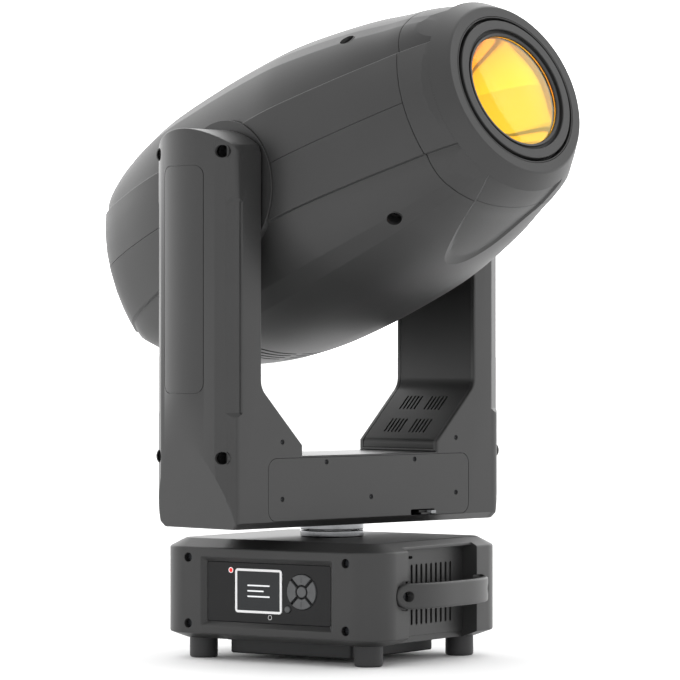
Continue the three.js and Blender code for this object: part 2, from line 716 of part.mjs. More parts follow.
/** Dark cover on the inner side of an arm, with a hole for the hub, at +X. */
function innerCover() {
  const strip = innerStrip(COVER_SEAT.depth - GAP, COVER_SEAT.halfWidth - GAP);
  const [low, high] = [INNER_PATH[0][1] + GAP, INNER_PATH[3][1] - GAP];
  const hubHole = rod(HUB_HOLE_RADIUS + 2, 60, { axis: 'x', at: [ARM_INNER_X - 10, 0, TILT_Z], sides: 28 });
  return cut(strip, tower(400, 100, 0, low), tower(400, 100, high, high + 100), hubHole);
}

/** Round-backed outer cover of an arm, at +X. */
function outerCover() {
  const arc = (radius, x) => {
    const lean = Math.acos(Math.min(1, (x - COVER_CENTRE_X) / radius));
    const shape = new THREE.Shape();
    shape.absarc(COVER_CENTRE_X, 0, radius, -lean, lean, false);
    shape.closePath();
    return shape;
  };
  const face = YOKE_X + GAP;
  const body = prism(arc(COVER_RADIUS, face), YOKE_BOTTOM, ARM_TOP + 5, 10);
  const side = prismX(armSideOutline(), face - 1, 260, 6);
  const [[, slopeLow], [slopeX, slopeTop]] = COVER_SLOPE;
  const below = [[face - 1, 100], [face + 60, 100]];
  const slope = outline([...below, [face + 60, slopeTop], [slopeX, slopeTop], [face - 1, slopeLow]]);
  const outer = cut(body.intersect(side), prismY(slope, -80, 80));
  const hollowArc = prism(arc(COVER_RADIUS - COVER_WALL, face - 1), YOKE_BOTTOM, ARM_TOP + 5, 8);
  const hollowSide = prismX(armSideOutline(COVER_WALL), face - 3, 260, 5);
  const innerSlope = outline([
    [face - 5, 100], [face + 60, 100], [face + 60, slopeTop + 1.7],
    [slopeX - COVER_WALL, slopeTop + 1.7], [face - 5, slopeLow + 8],
  ]);
  const inner = cut(hollowArc.intersect(hollowSide), prismY(innerSlope, -80, 80));
  return cut(outer, inner, edgeWedges());
}

/** Plate on the front (-Y) or back of the crossbar. */
function crossbarCover(side) {
  const { thick } = CROSSBAR_PLATE;
  const near = side > 0 ? YOKE_Y - thick : -YOKE_Y;
  return cut(prismY(crossbarPlate(GAP), near, near + thick), panLockSlot());
}

/** Square motor with a round nose along +Z. */
function motor(half, length, nose) {
  const corner = 5;
  const body = loft([cornerRing(half, half, corner, 0, 2), cornerRing(half, half, corner, length, 2)]);
  return join(body, rod(nose, 2, { at: [0, 0, length - 0.5], sides: 24 }));
}

/** Toothed wheel along +Z, drawn with plain square teeth. */
function toothedWheel(radius, width, teeth, bore) {
  const shape = new THREE.Shape();
  for (let i = 0; i < teeth; i += 1) {
    const at = (part, r) => {
      const angle = ((i + part) / teeth) * 2 * Math.PI;
      return [r * Math.cos(angle), r * Math.sin(angle)];
    };
    const root = radius - 1.2;
    const points = [at(0, root), at(0.25, root), at(0.35, radius), at(0.75, radius), at(0.85, root)];
    points.forEach(([x, y], k) => (i + k === 0 ? shape.moveTo(x, y) : shape.lineTo(x, y)));
  }
  shape.closePath();
  return prism(shape, 0, width).subtract(rod(bore, width + 2, { at: [0, 0, -1], sides: 16 }));
}

/** Solid from the XY plane turned to face along -X and moved, for the tilt drive. */
function towardsArm(solid, x, z) {
  const geometry = geometryOf(solid);
  const turn = new Matrix4().makeRotationY(-Math.PI / 2);
  geometry.applyMatrix4(new Matrix4().makeTranslation(x, 0, z).multiply(turn));
  return orient(geometry);
}

/** Solid moved by an offset. */
const shifted = (solid, x, y, z) => moved(geometryOf(solid), new Matrix4().makeTranslation(x, y, z));

/** Slot for the pan lock in the lower edge of the crossbar's front. */
const panLockSlot = () => box([64, -YOKE_Y - 3, PAN_LOCK_Z - 3], [102, -40, PAN_LOCK_Z + 3]);

/** Sliding latch that locks the pan: a blade inside and a tab outside. */
function panLock() {
  const blade = box([80, -YOKE_Y - 1.2, PAN_LOCK_Z - 2], [100, -42, PAN_LOCK_Z + 2]);
  const tab = box([92, -YOKE_Y - 4, PAN_LOCK_Z - 2], [100, -YOKE_Y - 1, PAN_LOCK_Z + 2]);
  return join(blade, tab);
}

/** Slot for the tilt lock in the back of the right arm. */
const tiltLockSlot = () => box([184, 40, TILT_LOCK_Z - 20], [190, YOKE_Y + 3, TILT_LOCK_Z + 20]);

/** Sliding latch that locks the tilt. */
function tiltLock() {
  const blade = box([185, 42, TILT_LOCK_Z - 18.5], [189, YOKE_Y + 1.2, TILT_LOCK_Z + 1.5]);
  const tab = box([185, YOKE_Y + 1, TILT_LOCK_Z - 6.5], [189, YOKE_Y + 4, TILT_LOCK_Z + 1.5]);
  return join(blade, tab);
}

/** Bearing ring around a tilt shaft, along +Z. */
function bearingRing() {
  const [inner, outer] = [SHAFT_RADIUS + 0.4, HUB_HOLE_RADIUS - 0.4];
  return turned([[inner, 0], [outer, 0], [outer, 9], [inner, 9], [inner, 0]], 24);
}

/** All pieces that turn with the yoke. */
function buildYoke() {
  const yoke = new THREE.Group();
  const add = (name, solid, finish) => yoke.add(piece(name, solid, finish));
  const outer = outerCover();
  const inner = innerCover();
  add('yoke_frame', yokeFrame(), 'yokeShell');
  add('outer_cover_right', outer, 'yokeShell');
  add('outer_cover_left', mirrorX(outer), 'yokeShell');
  add('inner_cover_right', inner, 'darkPanel');
  add('inner_cover_left', mirrorX(inner), 'darkPanel');
  add('crossbar_cover_front', crossbarCover(-1), 'yokeShell');
  add('crossbar_cover_rear', crossbarCover(1), 'yokeShell');
  add('pan_ring_upper', panRing(142.2, YOKE_BOTTOM - GAP), 'polished');
  add('pan_motor', shifted(motor(27, 34, 11), PAN_MOTOR_X, 0, 162.5), 'blackSteel');
  add('pan_belt', panBelt(), 'belt');
  add('tilt_motor', towardsArm(motor(27, 21, 11), -174.5, TILT_MOTOR_Z), 'blackSteel');
  add('tilt_belt', tiltBelt(), 'belt');
  const bearing = towardsArm(bearingRing(), -ARM_INNER_X - 2.7, TILT_Z);
  add('tilt_bearing_left', bearing, 'polished');
  add('tilt_bearing_right', mirrorX(bearing), 'polished');
  add('pan_lock', panLock(), 'darkPanel');
  add('tilt_lock', tiltLock(), 'darkPanel');
  return yoke;
}

/** Belt in the crossbar, from the pan motor's pinion to the fixed pulley. */
function panBelt() {
  const loop = beltLoop(PAN_PULLEY_RADIUS + 1.4, PINION_RADIUS + 0.8, -PAN_MOTOR_X, BELT_THICK, 8);
  return shifted(loop.rotate([0, 0, 180]), 0, 0, PAN_PULLEY_LOW + 2);
}

/** Belt up the left arm, from the tilt motor's pinion to the head's pulley. */
function tiltBelt() {
  const reach = TILT_Z - TILT_MOTOR_Z;
  const loop = geometryOf(beltLoop(TILT_PULLEY_RADIUS + 1.2, PINION_RADIUS + 0.8, reach, BELT_THICK, 7));
  const upright = new Matrix4().set(0, 0, -1, -TILT_PULLEY_X, 0, 1, 0, 0, -1, 0, 0, TILT_Z, 0, 0, 0, 1);
  loop.applyMatrix4(upright);
  return orient(loop);
}

// ---------------------------------------------------------------------------------------------
// Head
// ---------------------------------------------------------------------------------------------

/** Outer form of the head along the beam: place, half width, half height, bow of the side. */
const HEAD_STATIONS = [
  { z: -270, width: 104, height: 84, bow: 6 },
  { z: -258, width: 116, height: 97, bow: 6 },
  { z: -232, width: 138, height: 118, bow: 5 },
  { z: -180, width: 154, height: 138, bow: 3 },
  { z: -112, width: 163, height: 151, bow: 1 },
  { z: -40, width: 163, height: 155.5, bow: 0.6 },
  { z: 40, width: 163, height: 154, bow: 0.6 },
  { z: 90, width: 161, height: 150, bow: 2 },
  { z: 170, width: 145, height: 136.5, bow: 7 },
  { z: 222, width: 131, height: 123, bow: 11 },
  { z: NOSE_SEAM, width: 123.4, height: 118.7, bow: 12 },
];

/** Ring of the head's outer form at one station, pulled in by an inset. */
function headRing({ z, width, height, bow }, inset = 0) {
  const quarter = [];
  const side = SIDE_HALF;
  const reach = width - inset;
  for (const part of [0, 0.6, 1]) quarter.push([reach - bow * part * part, side * part]);
  const crownX = reach - bow - SIDE_STEP;
  const crownY = side + 1;
  const steps = 4;
  for (let i = 0; i <= steps; i += 1) {
    const angle = (i / steps) * (Math.PI / 2);
    quarter.push([crownX * Math.cos(angle), crownY + (height - inset - crownY) * Math.sin(angle)]);
  }
  const left = quarter.slice(0, -1).map(([x, y]) => [-x, y]).reverse();
  const upper = [...quarter, ...left];
  const lower = upper.slice(1, -1).map(([x, y]) => [x, -y]).reverse();
  return [...upper, ...lower].map(([x, y]) => new Vector3(x, y, z));
}

/** Both shells together, before they are split. */
function headShells() {
  const outer = loft(HEAD_STATIONS.map((station) => headRing(station)));
  const inner = loft(
    HEAD_STATIONS.map((station, i) => {
      const last = HEAD_STATIONS.length - 1;
      const z = i === 0 ? station.z - 1 : i === last ? station.z + 1 : station.z;
      return headRing({ ...station, z }, HEAD_WALL);
    }),
  );
  const hubHole = rod(HUB_RADIUS, 60, { axis: 'x', at: [130, 0, 0], sides: 36 });
  return cut(outer, inner, hubHole, mirrorX(hubHole));
}

/** Upper shell, with the split line at the height of the beam. */
const topShell = (shells) => cut(shells, box([-200, -200, -300], [200, GAP / 2, 300]));

/** Lower shell, with louvres under its rear. */
function bottomShell(shells) {
  let shell = cut(shells, box([-200, -GAP / 2, -300], [200, 200, 300]));
  const { first, pitch, rows, inner, outer, halfWidth } = LOUVRE;
  for (let row = 0; row < rows; row += 1) {
    const z = first - row * pitch;
    for (const [low, high] of [[-outer, -inner], [inner, outer]]) {
      shell = cut(shell, box([low, -160, z - halfWidth], [high, -100, z + halfWidth]));
    }
  }
  return shell;
}

/** Conical front ring that carries the lens. */
function noseRing() {
  const face = NOSE_FACE;
  return turned([
    [84.8, face], [NOSE_FACE_RADIUS, face], [114.5, 272], [116.6, 269], [117.8, NOSE_SEAM + GAP],
    [106, NOSE_SEAM + GAP], [100, 276], [84.8, 284], [84.8, face],
  ], 32);
}

/** Threaded ring that holds the front lens. */
function lensRetainer() {
  return turned([
    [68, 285], [84.3, 285], [84.3, 298.6], [81, 301.4], [68.5, 301],
    [66, 298.2], [62.2, 297.4], [62.2, 294.5], [68, 294.5], [68, 285],
  ], 32);
}

/** Front lens: a shallow dome with a flat rim. */
function frontLens() {
  const profile = [[0, 284], [67.6, 284], [67.6, 294.2], [LENS_RADIUS + 0.3, 294.2]];
  const steps = 3;
  for (let i = 0; i <= steps; i += 1) {
    const radius = LENS_RADIUS * (1 - i / steps);
    profile.push([radius, 294.8 + 7 * (1 - (radius / LENS_RADIUS) ** 2)]);
  }
  return turned(profile, 28);
}

/** Flange and hollow shaft on the head's side, at +X. */
function headHub(shaftEnd) {
  const [rim, face, back] = [HUB_RADIUS - GAP, HUB_FACE_X, 150];
  const flange = turned([
    [SHAFT_BORE, back], [rim, back], [rim, face - 1.5], [rim - 1.5, face], [SHAFT_RADIUS, face],
    [SHAFT_RADIUS, shaftEnd], [SHAFT_BORE, shaftEnd], [SHAFT_BORE, back],
  ], 36);
  const geometry = geometryOf(flange);
  geometry.rotateY(Math.PI / 2);
  return orient(geometry);
}

/** Folded sheet frame inside the head. */
function headChassis() {
  const rail = (side) => box([side > 0 ? 112 : -115, -40, -170], [side > 0 ? 115 : -112, 40, 235]);
  const plate = (z) => box([-100, -62, z], [100, 62, z + 3]);
  const beamHole = rod(40, 500, { at: [0, 0, -250], sides: 16 });
  const arms = join(box([113, -30, -30], [149.5, 30, 30]), box([-149.5, -30, -30], [-113, 30, 30]));
  const bore = rod(13, 320, { axis: 'x', at: [-160, 0, 0], sides: 12 });
  const webs = [-120, 60, 228].map((z) => join(plate(z), box([-113, -20, z], [113, 20, z + 3])));
  const body = join(rail(1), rail(-1), ...webs, arms);
  return cut(body, beamHole, bore);
}

/** Light engine with its finned cooler behind it. */
function lightEngine() {
  let body = join(tower(58, 58, -112, -104), tower(40, 40, -104, -82));
  body = join(body, rod(30, 10, { at: [0, 0, -84], sides: 32 }));
  const fins = 7;
  for (let i = 0; i < fins; i += 1) {
    const x = (i - (fins - 1) / 2) * 20;
    body = join(body, box([x - 2, -66, -196], [x + 2, 66, -125]));
  }
  return join(body, tower(66, 66, -128, -122), rod(24, 20, { at: [0, 0, -125], sides: 24 }));
}

/** Fan rotor along +Z with flat blades. */
function fanRotor(radius, blades) {
  let rotor = rod(20, 18, { sides: 24 });
  for (let i = 0; i < blades; i += 1) {
    const blade = new THREE.BoxGeometry(radius - 16, 2, 16);
    blade.rotateX(MathUtils.degToRad(32)).translate((radius + 16) / 2, 0, 9);
    blade.rotateZ((i / blades) * 2 * Math.PI);
    rotor = join(rotor, solidOf(blade));
  }
  return rotor;
}

/** Disc with round windows, for colours or patterns. */
function filterWheel(radius, windows, windowRadius) {
  let wheel = rod(radius, 2.5, { sides: 24 });
  wheel = cut(wheel, rod(4, 6, { at: [0, 0, -1], sides: 16 }));
  for (let i = 0; i < windows; i += 1) {
    const angle = (i / windows) * 2 * Math.PI;
    const ring = radius - windowRadius - 4;
    const at = [ring * Math.cos(angle), ring * Math.sin(angle), -1];
    wheel = cut(wheel, rod(windowRadius, 6, { at, sides: 10 }));
  }
  return wheel;
}

/** Lens carriage that slides on the chassis rails. */
function lensCarriage(radius) {
  const ears = join(box([-104, -12, 0], [-60, 12, 10]), box([60, -12, 0], [104, 12, 10]));
  const lens = turned([[0, -6], [radius - 12, -3], [radius, 2], [radius, 10], [0, 14]], 20);
  const ring = turned([[radius - 2, 0], [66, 0], [66, 10], [radius - 2, 10], [radius - 2, 0]], 20);
  return join(ears, ring, lens);
}

/** Rear cap: open grille in a rounded frame. */
function rearGrille() {
  const front = HEAD_STATIONS[0];
  const shape = headRing(front, HEAD_WALL + GAP);
  const place = (z) => shape.map((p) => new Vector3(p.x, p.y, z));
  let cap = loft([place(front.z), place(front.z + 6)]);
  for (let row = -4; row <= 4; row += 1) {
    cap = cut(cap, box([-72, row * 14 - 4, front.z - 2], [-3, row * 14 + 4, front.z + 8]));
    cap = cut(cap, box([3, row * 14 - 4, front.z - 2], [72, row * 14 + 4, front.z + 8]));
  }
  return cap;
}

/** All pieces that tilt with the head. */
function buildHead() {
  const head = new THREE.Group();
  const add = (name, solid, finish) => head.add(piece(name, solid, finish));
  const shells = headShells();
  add('head_top_shell', topShell(shells), 'shell');
  add('head_bottom_shell', bottomShell(shells), 'shell');
  add('nose_ring', noseRing(), 'shell');
  add('lens_retainer', lensRetainer(), 'darkPanel');
  add('front_lens', frontLens(), 'lens');
  add('rear_grille', rearGrille(), 'darkPanel');
  const pulley = geometryOf(toothedWheel(TILT_PULLEY_RADIUS, 8, 20, SHAFT_RADIUS + 0.8));
  add('head_hub_right', headHub(SHAFT_END_RIGHT), 'aluminium');
  add('head_hub_left', mirrorX(headHub(SHAFT_END_LEFT)), 'aluminium');
  pulley.rotateY(-Math.PI / 2).translate(-TILT_PULLEY_X + 0.5, 0, 0);
  add('tilt_pulley', orient(pulley), 'aluminium');
  add('head_chassis', headChassis(), 'zinc');
  add('light_engine', lightEngine(), 'blackSteel');
  add('rear_fan', shifted(fanRotor(60, 7), 0, 0, -232), 'blackSteel');
  add('colour_wheel', shifted(filterWheel(WHEEL_RADIUS, 6, 16), WHEEL_X, 0, -50), 'aluminium');
  add('pattern_wheel', shifted(filterWheel(WHEEL_RADIUS, 5, 16), WHEEL_X, 0, -34), 'aluminium');
  add('zoom_carriage', shifted(lensCarriage(44), 0, 0, 96), 'innerLens');
  add('focus_carriage', shifted(lensCarriage(44), 0, 0, 166), 'innerLens');
  return head;
}

// ---------------------------------------------------------------------------------------------
// Assembly
// ---------------------------------------------------------------------------------------------

/** Pinions on the two motors, which turn on the yoke. */
function addPinions(yoke) {
  const add = (name, solid, finish) => yoke.add(piece(name, solid, finish));
  const wheel = toothedWheel(PINION_RADIUS, 12, 9, 3);
  add('pan_pinion', shifted(wheel, PAN_MOTOR_X, 0, PAN_PULLEY_LOW - 1), 'aluminium');
  const pinion = geometryOf(toothedWheel(PINION_RADIUS, 9, 9, 3));
  pinion.rotateY(-Math.PI / 2).translate(-TILT_PULLEY_X + 1, 0, TILT_MOTOR_Z);
  add('tilt_pinion', orient(pinion), 'aluminium');
}

const fixture = new THREE.Group();
const yoke = buildYoke();
const head = buildHead();
addPinions(yoke);
head.position.z = TILT_Z;
head.rotation.x = TILT_REST;
yoke.add(head);
yoke.rotation.z = PAN_REST;
fixture.add(buildBase(), yoke);
fixture.position.z = -PLATE_BOTTOM;

export default fixture;
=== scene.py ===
"""Moving head light: the looks of every piece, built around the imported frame.

Lengths inside the classes are millimetres. Heights are measured from the floor that the feet
stand on, and each body's own axes are taken from the frame's joints.
"""

from __future__ import annotations

import json
import logging
import math
from dataclasses import dataclass
from enum import Enum
from typing import Callable, Iterable, Sequence

import bmesh
import bpy
from mathutils import Matrix, Vector

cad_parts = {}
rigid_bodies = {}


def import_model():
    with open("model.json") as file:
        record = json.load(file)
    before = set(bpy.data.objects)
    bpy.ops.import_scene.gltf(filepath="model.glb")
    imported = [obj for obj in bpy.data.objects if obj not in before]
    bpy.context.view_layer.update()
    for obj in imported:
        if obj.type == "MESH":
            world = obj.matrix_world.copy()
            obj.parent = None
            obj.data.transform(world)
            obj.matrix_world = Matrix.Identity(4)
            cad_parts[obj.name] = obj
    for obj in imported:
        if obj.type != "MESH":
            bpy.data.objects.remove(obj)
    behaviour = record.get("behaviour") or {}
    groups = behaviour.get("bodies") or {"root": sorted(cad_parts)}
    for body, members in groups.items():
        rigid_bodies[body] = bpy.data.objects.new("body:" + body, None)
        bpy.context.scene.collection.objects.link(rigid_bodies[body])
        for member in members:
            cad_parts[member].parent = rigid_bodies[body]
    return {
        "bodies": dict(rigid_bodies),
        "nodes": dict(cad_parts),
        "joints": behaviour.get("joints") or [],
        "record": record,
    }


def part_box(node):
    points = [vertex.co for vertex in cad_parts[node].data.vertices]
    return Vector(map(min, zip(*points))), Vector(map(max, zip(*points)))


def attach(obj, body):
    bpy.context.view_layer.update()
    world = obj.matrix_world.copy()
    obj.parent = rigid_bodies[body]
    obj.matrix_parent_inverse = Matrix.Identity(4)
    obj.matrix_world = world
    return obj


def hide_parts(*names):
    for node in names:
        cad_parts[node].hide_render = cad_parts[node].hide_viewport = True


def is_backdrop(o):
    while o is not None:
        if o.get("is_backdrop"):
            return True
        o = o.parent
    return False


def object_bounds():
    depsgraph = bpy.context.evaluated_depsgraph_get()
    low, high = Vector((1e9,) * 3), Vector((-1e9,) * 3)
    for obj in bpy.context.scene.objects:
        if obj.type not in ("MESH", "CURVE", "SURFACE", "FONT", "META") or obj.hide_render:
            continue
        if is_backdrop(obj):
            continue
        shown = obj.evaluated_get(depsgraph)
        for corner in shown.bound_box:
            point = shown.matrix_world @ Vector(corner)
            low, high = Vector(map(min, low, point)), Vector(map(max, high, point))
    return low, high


log = logging.getLogger("moving_head")

MM = 0.001
SIDES = (-1, 1)
SIDE_NAMES = {1: "right", -1: "left"}
FINE_CURVE = (0, 0.33, 0.67, 1)
SMOOTH_CURVE = tuple(i / 6 for i in range(7))
Point = tuple[float, float]


class Axis(Enum):
    """The way an outline is pushed out or a profile is turned."""

    X = "x"
    Y = "y"
    Z = "z"


class Action(Enum):
    """What a tool does to the body it meets."""

    CUT = "DIFFERENCE"
    JOIN = "UNION"
    KEEP = "INTERSECT"


class Slot(Enum):
    """The record's material slots."""

    SHELL = "charcoal_shell"
    YOKE = "yoke_shell"
    DARK = "dark_panel"
    GLOSS = "gloss_panel"
    KEY = "grey_key"
    RUBBER = "rubber_foot"
    COLLAR = "polished_collar"
    ZINC = "zinc_sheet"
    ALUMINIUM = "machined_aluminium"
    BLACK_STEEL = "black_steel"
    BOARD = "circuit_board"
    BELT = "drive_belt"
    SCREEN = "display_screen"
    AMBER = "amber_lens"
    CLEAR = "clear_lens"


# ---------------------------------------------------------------------------------------------
# Finishes
# ---------------------------------------------------------------------------------------------


def linear(code: str) -> tuple[float, float, float, float]:
    """Turns an sRGB hex colour to linear.

    Args:
        code: Colour such as "#2f3032".

    Returns:
        Linear red, green, blue and an alpha of one.
    """
    values = [int(code[i : i + 2], 16) / 255 for i in (1, 3, 5)]
    curve = [v / 12.92 if v <= 0.04045 else ((v + 0.055) / 1.055) ** 2.4 for v in values]
    return (curve[0], curve[1], curve[2], 1.0)


def add_node(
    tree: bpy.types.NodeTree,
    kind: str,
    settings: dict | None = None,
    links: dict[str, bpy.types.NodeSocket] | None = None,
) -> bpy.types.Node:
    """Adds one node to a tree.

    Args:
        tree: Node tree of a material or the world.
        kind: Blender's name for the node type.
        settings: Attributes of the node, or values of its inputs by name.
        links: Outputs that feed the node's inputs, by input name.

    Returns:
        The new node.
    """
    node = tree.nodes.new(kind)
    for key, value in (settings or {}).items():
        if key in node.inputs:
            node.inputs[key].default_value = value
        else:
            setattr(node, key, value)
    for key, socket in (links or {}).items():
        tree.links.new(socket, node.inputs[key])
    return node


def new_material(name: str) -> tuple[bpy.types.Material, bpy.types.NodeTree]:
    """Makes an empty node material.

    Args:
        name: Name of the material.

    Returns:
        The material and its node tree.
    """
    material = bpy.data.materials.new(name)
    material.use_nodes = True
    material.node_tree.nodes.clear()
    return material, material.node_tree


def close_material(tree: bpy.types.NodeTree, shader: bpy.types.Node) -> None:
    """Links a shader to the material's output."""
    add_node(tree, "ShaderNodeOutputMaterial", links={"Surface": shader.outputs[0]})


def pattern_noise(
    tree: bpy.types.NodeTree, size_mm: float, detail: float, stretch: Sequence[float] = (1, 1, 1)
) -> bpy.types.Node:
    """Adds noise on the object's own coordinates.

    Args:
        tree: Node tree of the material.
        size_mm: Rough size of one blob of the pattern.
        detail: Octaves of the noise.
        stretch: How much finer the pattern is along each axis.

    Returns:
        The noise node.
    """
    where = add_node(tree, "ShaderNodeTexCoord")
    place = add_node(
        tree, "ShaderNodeMapping", {"Scale": stretch}, {"Vector": where.outputs["Object"]}
    )
    scale = 1 / (size_mm * MM)
    return add_node(
        tree,
        "ShaderNodeTexNoise",
        {"Scale": scale, "Detail": detail},
        {"Vector": place.outputs[0]},
    )


def spread_value(
    tree: bpy.types.NodeTree, source: bpy.types.NodeSocket, low: float, high: float
) -> bpy.types.NodeSocket:
    """Spreads a value that runs from 0 to 1 between two ends.

    Args:
        tree: Node tree of the material.
        source: Output that gives the value.
        low: What 0 becomes.
        high: What 1 becomes.

    Returns:
        The output of the spread value.
    """
    settings = {"To Min": low, "To Max": high}
    return add_node(tree, "ShaderNodeMapRange", settings, {"Value": source}).outputs[0]


@dataclass(frozen=True)
class Finish:
    """What every finish has: a name and the record's slot it belongs to."""

    name: str
    slot: Slot

    def build(self) -> bpy.types.Material:
        """Makes the material."""
        raise NotImplementedError

    def material(self) -> bpy.types.Material:
        """Gives the material, made once."""
        return bpy.data.materials.get(self.name) or self.build()


@dataclass(frozen=True)
class MouldedPlastic(Finish):
    """Injection moulded ABS with a spark-eroded skin.

    The eye gets a soft, even charcoal with a very fine grain that breaks up the gloss, and a
    slow drift of tone where the melt flowed.
    """

    colour: str
    flow_colour: str
    roughness: float = 0.42
    grain_mm: float = 1.1
    grain_depth_mm: float = 0.02
    flow_mm: float = 90.0
    specular: float = 0.5

    def build(self) -> bpy.types.Material:
        """Makes the material."""
        material, tree = new_material(self.name)
        flow = pattern_noise(tree, self.flow_mm, 2.0)
        tone = add_node(tree, "ShaderNodeMix", {"data_type": "RGBA"})
        tree.links.new(flow.outputs["Fac"], tone.inputs[0])
        tone.inputs[6].default_value = linear(self.colour)
        tone.inputs[7].default_value = linear(self.flow_colour)
        # Real spark grain is about 0.2 mm; it is drawn coarser so that it shows.
        grain = pattern_noise(tree, self.grain_mm, 3.0)
        rough = spread_value(tree, grain.outputs["Fac"], self.roughness - 0.05, self.roughness + 0.07)
        bump = add_node(
            tree,
            "ShaderNodeBump",
            {"Strength": 0.35, "Distance": self.grain_depth_mm * MM},
            {"Height": grain.outputs["Fac"]},
        )
        shader = add_node(
            tree,
            "ShaderNodeBsdfPrincipled",
            {"IOR": 1.5, "Specular IOR Level": self.specular},
            {
                "Base Color": tone.outputs[2],
                "Roughness": rough,
                "Normal": bump.outputs[0],
            },
        )
        close_material(tree, shader)
        return material


@dataclass(frozen=True)
class GlossPlate(Finish):
    """Screen-printed polycarbonate sheet.

    The eye gets a deep, flat colour under a clear glossy face with a faint waviness.
    """

    colour: str
    roughness: float = 0.14
    specular: float = 0.3
    wave_mm: float = 14.0

    def build(self) -> bpy.types.Material:
        """Makes the material."""
        material, tree = new_material(self.name)
        wave = pattern_noise(tree, self.wave_mm, 1.0)
        smudge = spread_value(tree, wave.outputs["Fac"], self.roughness, self.roughness + 0.08)
        bump = add_node(
            tree,
            "ShaderNodeBump",
            {"Strength": 0.1, "Distance": 0.05 * MM},
            {"Height": wave.outputs["Fac"]},
        )
        shader = add_node(
            tree,
            "ShaderNodeBsdfPrincipled",
            {
                "Base Color": linear(self.colour),
                "IOR": 1.5,
                "Specular IOR Level": self.specular,
            },
            {"Roughness": smudge, "Normal": bump.outputs[0]},
        )
        close_material(tree, shader)
        return material


@dataclass(frozen=True)
class Metal(Finish):
    """Turned, rolled or plated metal.

    The eye gets a reflective face with fine scratches along one direction.
    """

    colour: str
    roughness: float = 0.25
    scratch_mm: float = 1.5
    stretch: Sequence[float] = (1.0, 1.0, 12.0)

    def build(self) -> bpy.types.Material:
        """Makes the material."""
        material, tree = new_material(self.name)
        scratch = pattern_noise(tree, self.scratch_mm, 4.0, self.stretch)
        rough = spread_value(tree, scratch.outputs["Fac"], self.roughness * 0.7, self.roughness * 1.4)
        bump = add_node(
            tree,
            "ShaderNodeBump",
            {"Strength": 0.15, "Distance": 0.02 * MM},
            {"Height": scratch.outputs["Fac"]},
        )
        shader = add_node(
            tree,
            "ShaderNodeBsdfPrincipled",
            {"Base Color": linear(self.colour), "Metallic": 1.0},
            {"Roughness": rough, "Normal": bump.outputs[0]},
        )
        close_material(tree, shader)
        return material


@dataclass(frozen=True)
class OpticalGlass(Finish):
    """Polished, coated optical glass.

    The eye gets a clear body with a tint and sharp highlights.
    """

    colour: str
    roughness: float = 0.01
    ior: float = 1.46

    def build(self) -> bpy.types.Material:
        """Makes the material."""
        material, tree = new_material(self.name)
        # A coating never lies quite evenly, so the gloss wanders a little.
        haze = pattern_noise(tree, 30.0, 1.0)
        rough = spread_value(tree, haze.outputs["Fac"], self.roughness, self.roughness + 0.03)
        shader = add_node(
            tree,
            "ShaderNodeBsdfPrincipled",
            {
                "Base Color": linear(self.colour),
                "Transmission Weight": 1.0,
                "IOR": self.ior,
            },
            {"Roughness": rough},
        )
        close_material(tree, shader)
        return material


@dataclass(frozen=True)
class Glow(Finish):
    """Light-emitting plastic, such as a status light or a lit screen mark.

    The eye gets a clear colour that glows evenly across its face.
    """

    colour: str
    strength: float = 1.0

    def build(self) -> bpy.types.Material:
        """Makes the material."""
        material, tree = new_material(self.name)
        speckle = pattern_noise(tree, 2.0, 1.0)
        rough = spread_value(tree, speckle.outputs["Fac"], 0.2, 0.3)
        shader = add_node(
            tree,
            "ShaderNodeBsdfPrincipled",
            {
                "Base Color": linear(self.colour),
                "Emission Color": linear(self.colour),
                "Emission Strength": self.strength,
            },
            {"Roughness": rough},
        )
        close_material(tree, shader)
        return material


@dataclass(frozen=True)
class AmberCoating(Finish):
    """Dichroic coating on the concave glass behind the front lens, with painted light on it.

    The eye gets a mirror-like bowl that turns from orange to bright yellow across its face. That
    shift is partly the coating's own colour and partly a painted reflection, and the bowl gives off a
    painted glow though it is no lamp.
    """

    colour: str
    deep_colour: str
    centre: Vector
    across: Vector
    span_mm: float = 100.0
    painted_glow: float = 0.3

    def build(self) -> bpy.types.Material:
        """Makes the material."""
        material, tree = new_material(self.name)
        # The colour blends from orange to bright yellow along one direction across the face: partly
        # the coating's own colour, partly a painted reflection.
        where = add_node(tree, "ShaderNodeTexCoord")
        offset = add_node(
            tree,
            "ShaderNodeVectorMath",
            {"operation": "SUBTRACT"},
            {"Vector": where.outputs["Object"]},
        )
        offset.inputs[1].default_value = self.centre
        share = add_node(
            tree,
            "ShaderNodeVectorMath",
            {"operation": "DOT_PRODUCT"},
            {"Vector": offset.outputs[0]},
        )
        share.inputs[1].default_value = self.across
        half = self.span_mm * MM / 2
        blend = add_node(
            tree,
            "ShaderNodeMapRange",
            {"From Min": -half, "From Max": half, "interpolation_type": "SMOOTHSTEP"},
            {"Value": share.outputs["Value"]},
        )
        tone = add_node(tree, "ShaderNodeMix", {"data_type": "RGBA"})
        tree.links.new(blend.outputs[0], tone.inputs[0])
        tone.inputs[6].default_value = linear(self.deep_colour)
        tone.inputs[7].default_value = linear(self.colour)
        # The emission is a painted glow; the bowl is no lamp.
        shader = add_node(
            tree,
            "ShaderNodeBsdfPrincipled",
            {"Metallic": 0.85, "Roughness": 0.08, "Emission Strength": self.painted_glow},
            {"Base Color": tone.outputs[2], "Emission Color": tone.outputs[2]},
        )
        close_material(tree, shader)
        return material


